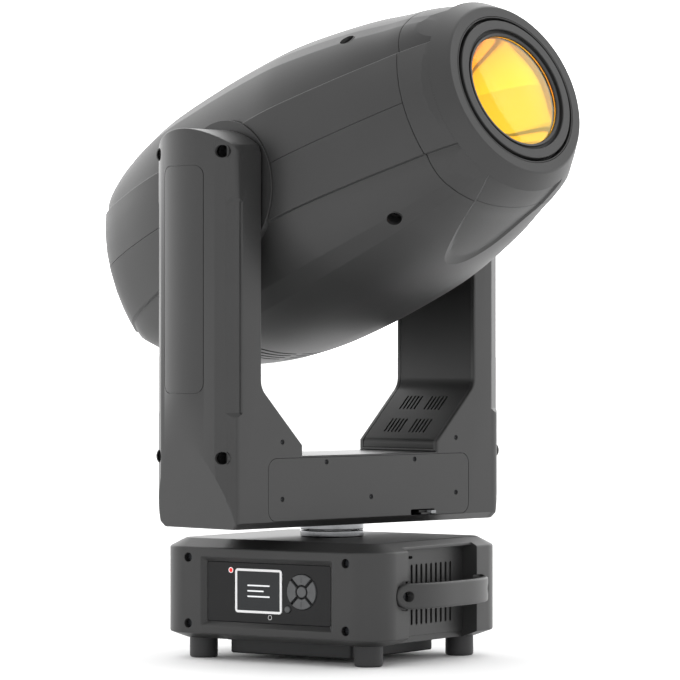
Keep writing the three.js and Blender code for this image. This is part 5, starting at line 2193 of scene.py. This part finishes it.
    def section(self, along: float, inset: float = 0.0) -> list[Vector]:
        """Gives the whole section at a place along the beam.

        Args:
            along: Place on the beam's axis.
            inset: Distance by which the section is pulled in.

        Returns:
            A ring of points.
        """
        plain = self.station(along)
        at = Station(along, plain.width - inset, plain.height - inset, plain.bow)
        quarter = self.quarter(at)
        upper = quarter + [(-x, y) for x, y in reversed(quarter[:-1])]
        ring = upper + [(x, -y) for x, y in reversed(upper[1:-1])]
        return [Vector((x, y, along)) for x, y in ring]

    def body(
        self, start: float, end: float, inset: float = 0.0, reach: float = 0.0
    ) -> bmesh.types.BMesh:
        """Makes the head's form between two places.

        Args:
            start: First place along the beam.
            end: Last place.
            inset: Distance by which it is pulled in.
            reach: Distance by which both ends are pushed out.

        Returns:
            A closed solid.
        """
        count = max(4, round((end - start) / 7))
        places = [start + (end - start) * i / count for i in range(count + 1)]
        rings = [self.section(place, inset) for place in places]
        if reach:
            rings.insert(0, [p - Vector((0, 0, reach)) for p in rings[0]])
            rings.append([p + Vector((0, 0, reach)) for p in rings[-1]])
        return loft(rings)

    def screw_spots(self) -> list[tuple[Vector, Vector]]:
        """Gives the shell screws: a point on a facet and the way out of it.

        Returns:
            Eight pairs of point and way.
        """
        spots = []
        for along in (-self.screw_along, self.screw_along):
            _, _, low, high = self.corners(self.station(along))
            spot = Vector(low).lerp(Vector(high), 0.25)
            way = Vector(high) - Vector(low)
            out = Vector((way.y, -way.x)).normalized()
            for side_x in SIDES:
                for side_y in SIDES:
                    point = Vector((side_x * spot.x, side_y * spot.y, along))
                    spots.append((point, Vector((side_x * out.x, side_y * out.y, 0))))
        return spots

    def scoop(self, start: float, end: float) -> bmesh.types.BMesh:
        """Makes the tool for the scoop under the front between two places along the beam.

        Args:
            start: First place along the beam.
            end: Last place.

        Returns:
            The tool.
        """
        length = end - self.scoop_tip
        first = math.sqrt(max(start - self.scoop_tip, 0.02) / length)
        rings = []
        count = 40
        for i in range(count + 1):
            share = first + (1 - first) * i / count
            along = self.scoop_tip + length * share * share
            rings.append(self.scoop_ring(along))
        return loft(rings)

    def scoop_ring(self, along: float) -> list[Vector]:
        """Gives the scoop's section: its sunken floor and a back outside the shell.

        Args:
            along: Place on the beam's axis.

        Returns:
            A ring of points: the floor, then the back.
        """
        at = self.station(min(along, 304))
        half = self.scoop_width * (along - self.scoop_tip) ** self.scoop_power
        margins = [min(d, half * (i + 0.2) / 9) for i, d in enumerate((0, 1.2, 2.4, 3.5, 4.5, 7))]
        edge = [half - d for d in margins]
        inner = edge[-1]
        across = edge + [inner * part for part in (0.8, 0.6, 0.4, 0.2, 0)]
        across += [-x for x in reversed(across[:-1])]
        face = []
        back = []
        for x in across:
            behind = self.scoop_tip + (abs(x) / self.scoop_width) ** (1 / self.scoop_power)
            share = min((half - abs(x)) / 3.5, (along - behind) / 13, 1.0)
            height = self.crown_height(at, x) + 0.05
            face.append(Vector((x, self.scoop_depth * max(share, 0.0) - height, along)))
            back.append(Vector((x, -height - 6, along)))
        return face + back[::-1]

    def build_shells(self) -> None:
        """Makes the upper and lower shell."""
        outer = self.body(self.back, self.seam)
        soften(outer, 0.8, 2, 50, lambda p: p.z > self.seam - 1 or p.z < self.back + 1)
        inner = self.body(self.back, self.seam, self.wall + 1.4, 3)
        hub = rod(self.hub_radius, (130, 0, 0), (190, 0, 0), 128)
        holes = [rod(8, point + way * 8, point - way * 8, 48) for point, way in self.screw_spots()]
        whole = carve(outer, inner, both_sides(hub, Axis.X), merged(*holes))
        far = 220
        seam = 0.25
        upper_half = block((-far, seam, -far * 2), (far, far, far * 2))
        lower_half = block((-far, -far, -far * 2), (far, -seam, far * 2))
        upper = carve(whole.copy(), upper_half, action=Action.KEEP)
        lower = carve(whole, lower_half, action=Action.KEEP)
        lower = carve(lower, self.scoop(self.scoop_tip, self.seam + 4))
        lower = carve(lower, self.louvres())
        make_piece(upper, "shell_upper", self.place, SHELL_PLASTIC, ["head_top_shell"], 12)
        make_piece(lower, "shell_lower", self.place, SHELL_PLASTIC, ["head_bottom_shell"], 12)

    def louvres(self) -> bmesh.types.BMesh:
        """Makes the tools for the air slots under the rear.

        Returns:
            The tools in one shape.
        """
        slots = []
        for row in range(self.louvre_rows):
            along = self.louvre_first - row * self.louvre_pitch
            for side in SIDES:
                outline = round_rect((side * 34, along), 30, 1.5, 1.45, 5)
                slot = prism(outline, 100, 170, Axis.Y)
                slots.append(mirrored(slot, Axis.Y))
        return merged(*slots)

    def build_shell_screws(self) -> None:
        """Makes the screws in the facets and the darker cups that line their holes, as painted shade.
        """
        spots = [(point - way * 9.0, way) for point, way in self.screw_spots()]
        screws = screws_at(cross_screw(4.4, 1.2), spots)
        make_piece(screws, "shell_screws", self.place, BLACK_SCREW)
        # The cups are the holes' walls and floors; their darker plastic is painted shade inside the
        # holes.
        cups = [cup(8, 1.4, 8.6, point - way * 2.0, way) for point, way in self.screw_spots()]
        make_piece(merged(*cups), "shell_screw_cups", self.place, DARK_PLASTIC)

    def build_nose(self) -> None:
        """Makes the conical nose with the scoop's end in it."""
        start = self.seam + 0.5
        body = self.body(start, 304)
        soften(body, 0.8, 2, 50, lambda p: p.z < start + 1)
        body = carve(body, self.scoop(start - 4, self.ring_back + 5))
        slope = self.face_radius + self.cone * (self.face - start + 4)
        profile = [(0, start - 4), (slope, start - 4)]
        profile += [(self.face_radius + 1.0, self.face - 1.4), (self.face_radius, self.face - 0.5)]
        profile += [(self.face_radius - 1, self.face), (0, self.face)]
        body = carve(body, turned(profile, steps=192), action=Action.KEEP)
        inside = [(0, start - 5), (106, start - 5), (106, start), (100, 276), (self.bore, 284)]
        inside += [(self.bore, self.face + 5), (0, self.face + 5)]
        body = carve(body, turned(inside, steps=192))
        back, front = self.ring_back, self.face - 2
        wide, narrow = (self.face_radius + self.cone * (self.face - z) for z in (back, front))
        ring = [(88, back), (wide - 0.6, back), (wide, back + 0.6), (narrow + 0.05, front)]
        ring.append((88, front))
        body = carve(body, turned(ring, steps=192, closed=True), action=Action.JOIN)
        make_piece(body, "nose", self.place, SHELL_PLASTIC, ["nose_ring"], 12)

    def build_retainer(self) -> None:
        """Makes the stepped ring that holds the lens, with near-black rings on its groove floors as
        painted shade.
        """
        profile = [(68, 285), (84.3, 285), (84.3, 297.7), (83.8, 298.2), (83.2, 298.2)]
        profile += [(82.8, 297.7), (82.6, 288), (79.6, 288), (79.4, 298.9), (78.7, 299.6)]
        profile += [(69.9, 299.6), (69.2, 298.9), (69.0, 295.3), (65.6, 295.3), (65.4, 297.2)]
        profile += [(64.9, 297.7), (63.0, 297.2), (62.3, 296.4), (62.2, 294.5), (68, 294.5)]
        ring = turned(profile, steps=160, closed=True)
        make_piece(ring, "lens_ring", self.place, SHELL_PLASTIC, ["lens_retainer"])
        # Thin near-black rings on the groove floors are painted shade in the grooves.
        floors = [
            turned([(r, z), (r + w, z), (r + w, z + 0.4), (r, z + 0.4)], steps=128, closed=True)
            for r, w, z in ((79.7, 2.8, 288.1), (65.7, 3.2, 295.4))
        ]
        make_piece(merged(*floors), "lens_ring_grooves", self.place, SHADE_BLACK)

    def build_lens(self) -> None:
        """Makes the domed front glass, the coated bowl behind it with its painted glow and painted
        reflection, and a near-black ring of painted shade round the lens edge.
        """
        edge = self.lens_radius
        dome = [(0, 290.5), (edge + 0.4, 290.5), (edge + 0.4, self.lens_edge)]
        for i in range(17):
            radius = edge * (1 - i / 16)
            dome.append((radius, self.lens_edge + self.lens_rise * (1 - (radius / edge) ** 2)))
        glass = turned(dome, steps=128)
        make_piece(glass, "front_glass", self.place, AMBER_GLASS, ["front_lens"], 50)
        deep, rim = 240.0, 284.0
        bowl = [(0, deep - 2.5), (edge + 2, rim - 2.5), (edge + 2, rim)]
        bowl[1:1] = [(edge * i / 8, deep - 2.5 + (rim - deep) * (i / 8) ** 2) for i in range(1, 8)]
        for i in range(17):
            share = 1 - i / 16
            bowl.append((edge * share, deep + (rim - deep) * share * share))
        # The bowl's coating carries a painted reflection across its face and a painted glow.
        centre = self.place.matrix @ Vector((0, 0, rim))
        across = self.place.matrix.to_3x3() @ Vector((0.94, -0.34, 0))
        coating = AmberCoating(
            "amber_coating_painted_glow",
            Slot.AMBER,
            "#ffe000",
            "#f99a08",
            centre,
            across.normalized(),
        )
        make_piece(turned(bowl, steps=128), "coated_bowl", self.place, coating, (), 50)
        # The near-black ring under the retainer's lip, round the lens edge, is painted shade.
        seat = [(edge + 0.8, 285), (67.6, 285), (67.6, 294.1), (edge + 0.8, 294.1)]
        make_piece(turned(seat, steps=128, closed=True), "lens_seat", self.place, SHADE_BLACK)

    def build_hub(self, side: int) -> None:
        """Makes the round boss and hollow shaft on one side.

        Args:
            side: 1 at +X or -1 at -X.
        """
        rim = self.hub_radius - 0.3
        face = self.hub_face
        boss = [(self.shaft_bore, 150), (rim, 150), (rim, face - 0.7), (rim - 0.2, face - 0.2)]
        boss += [(rim - 0.7, face), (self.shaft_bore, face)]
        end = self.shaft_ends[0] if side < 0 else self.shaft_ends[1]
        shaft = [(self.shaft_bore, face - 2), (self.shaft_radius, face - 2)]
        shaft += [(self.shaft_radius, end - 0.8), (self.shaft_radius - 0.8, end)]
        shaft += [(self.shaft_bore, end)]
        boss_shape = on_side(turned(boss, Axis.X, 144, True), side)
        shaft_shape = on_side(turned(shaft, Axis.X, 96, True), side)
        name = SIDE_NAMES[side]
        make_piece(boss_shape, f"boss_{name}", self.place, SHELL_PLASTIC, [f"head_hub_{name}"])
        make_piece(shaft_shape, f"shaft_{name}", self.place, ALUMINIUM)

    def build_grille(self) -> None:
        """Makes the rear grille."""
        inset = self.wall + 0.3
        start = self.back
        rings = []
        for place, extra in ((start, 1.2), (start + 1.2, 0), (start + 6, 0)):
            flat = self.section(start, inset + extra)
            rings.append([Vector((p.x, p.y, place)) for p in flat])
        cap = loft(rings)
        slots = []
        for row in range(-4, 5):
            for side in SIDES:
                outline = round_rect((side * 37.5, row * 14), 34.5, 4, 3.6, 5)
                slots.append(prism(outline, start - 3, start + 9, Axis.Z))
        cap = carve(cap, merged(*slots))
        make_piece(cap, "rear_bars", self.place, DARK_PLASTIC, ["rear_grille"])

    def build(self) -> None:
        """Makes every piece of the head."""
        self.build_shells()
        self.build_shell_screws()
        self.build_nose()
        self.build_retainer()
        self.build_lens()
        for side in SIDES:
            self.build_hub(side)
        self.build_grille()


@dataclass(frozen=True)
class Interior:
    """Finishes of the parts inside, which keep their own shapes."""

    finishes: tuple[tuple[Finish, tuple[str, ...]], ...] = (
        (BOARD_GREEN, ("control_board",)),
        (ALUMINIUM, ("power_supply", "pan_spindle", "tilt_pulley", "pan_pinion", "tilt_pinion")),
        (ALUMINIUM, ("colour_wheel", "pattern_wheel")),
        (BLACK_STEEL, ("pan_motor", "tilt_motor", "light_engine", "rear_fan")),
        (BELT_RUBBER, ("pan_belt", "tilt_belt")),
        (COLLAR_STEEL, ("tilt_bearing_left", "tilt_bearing_right")),
        (ZINC_SHEET, ("head_chassis",)),
        (CLEAR_GLASS, ("zoom_carriage", "focus_carriage")),
    )

    def dress(self) -> None:
        """Gives every inner part its finish."""
        for finish, names in self.finishes:
            for name in names:
                node = bpy.data.objects[name]
                node.data.materials.clear()
                node.data.materials.append(finish.material())
                log.info("%s: dressed in %s", name, finish.name)


@dataclass(frozen=True)
class Studio:
    """Pale floor, white surround and camera."""

    floor_z: float
    floor_half: float = 60.0
    front_light: float = 1.1
    back_light: float = 2.4
    camera_at: tuple[float, float, float] = (2.3486, -3.4142, 0.3482)
    camera_turn: tuple[float, float, float] = (90.0, 0.0, 34.4)
    lens_mm: float = 195.88
    sensor_mm: float = 36.0

    def build_floor(self) -> None:
        """Makes the floor."""
        bm = bmesh.new()
        bmesh.ops.create_grid(bm, x_segments=1, y_segments=1, size=self.floor_half)
        mesh = bpy.data.meshes.new("floor")
        bm.to_mesh(mesh)
        bm.free()
        mesh.transform(Matrix.Translation((0, 0, self.floor_z)))
        material, tree = new_material("floor_paper")
        grain = pattern_noise(tree, 40.0, 2.0)
        rough = spread_value(tree, grain.outputs["Fac"], 0.8, 0.95)
        shader = add_node(
            tree,
            "ShaderNodeBsdfPrincipled",
            {"Base Color": (0.96, 0.96, 0.96, 1), "Specular IOR Level": 0.0},
            {"Roughness": rough},
        )
        close_material(tree, shader)
        mesh.materials.append(material)
        floor = bpy.data.objects.new("floor", mesh)
        bpy.context.scene.collection.objects.link(floor)
        floor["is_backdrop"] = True

    def build_surround(self) -> None:
        """Makes the even white light from all sides."""
        world = bpy.data.worlds.new("white_surround")
        world.use_nodes = True
        tree = world.node_tree
        background = tree.nodes["Background"]
        background.inputs["Color"].default_value = (1, 1, 1, 1)
        where = add_node(tree, "ShaderNodeTexCoord")
        turn = math.radians(self.camera_turn[2])
        behind = Vector((-math.sin(turn), math.cos(turn), 0))
        share = add_node(
            tree,
            "ShaderNodeVectorMath",
            {"operation": "DOT_PRODUCT"},
            {"Vector": where.outputs["Generated"]},
        )
        share.inputs[1].default_value = behind
        ramp = add_node(
            tree,
            "ShaderNodeMapRange",
            {
                "interpolation_type": "SMOOTHSTEP",
                "From Min": -0.4,
                "From Max": 0.9,
                "To Min": self.front_light,
                "To Max": self.back_light,
            },
            {"Value": share.outputs["Value"]},
        )
        tree.links.new(ramp.outputs[0], background.inputs["Strength"])
        bpy.context.scene.world = world
        view = bpy.context.scene.view_settings
        view.view_transform = "Standard"
        view.look = "None"

    def build_camera(self) -> None:
        """Makes the camera and looks through it."""
        data = bpy.data.cameras.new("camera")
        data.lens = self.lens_mm
        data.sensor_width = self.sensor_mm
        data.clip_end = 200.0
        camera = bpy.data.objects.new("camera", data)
        camera.location = self.camera_at
        camera.rotation_euler = [math.radians(angle) for angle in self.camera_turn]
        bpy.context.scene.collection.objects.link(camera)
        bpy.context.scene.camera = camera
        camera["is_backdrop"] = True

    def build(self) -> None:
        """Makes the whole studio."""
        self.build_floor()
        self.build_surround()
        self.build_camera()


def body_axes(x_axis: Vector, z_axis: Vector, origin: Vector) -> Matrix:
    """Gives the matrix from a body's own millimetres to the frame's metres.

    Args:
        x_axis: The body's X in the frame.
        z_axis: The body's Z in the frame.
        origin: The body's zero in the frame, in metres.

    Returns:
        The matrix.
    """
    z = z_axis.normalized()
    x = (x_axis - z * x_axis.dot(z)).normalized()
    y = z.cross(x)
    turn = Matrix((x, y, z)).transposed().to_4x4()
    return Matrix.Translation(origin) @ turn @ Matrix.Scale(MM, 4)


def main() -> None:
    """Builds the whole light in its studio."""
    logging.basicConfig(level=logging.INFO, format="%(message)s")
    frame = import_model()
    sizes = {"loaded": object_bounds()}
    joints = {joint["name"]: joint for joint in frame["joints"]}
    floor_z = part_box("foot_1")[0].z
    ground = Vector((0, 0, floor_z))
    tilt = joints["tilt"]
    tilt_axis = Vector(tilt["axis"])
    beam_axis = Vector(joints["zoom_slide"]["axis"])
    up = Vector((0, 0, 1))
    base = Place("base", body_axes(Vector((1, 0, 0)), up, ground))
    yoke = Place("yoke", body_axes(tilt_axis, up, ground))
    head = Place("head", body_axes(tilt_axis, beam_axis, Vector(tilt["pos_m"])))
    BaseBody(base).build()
    ControlPanel(base).build()
    RearPanel(base).build()
    Yoke(yoke).build()
    Head(head).build()
    Interior().dress()
    Studio(floor_z).build()
    sizes["finished"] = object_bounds()
    sizes = {name: [list(corner) for corner in corners] for name, corners in sizes.items()}


if __name__ == "__main__":
    main()
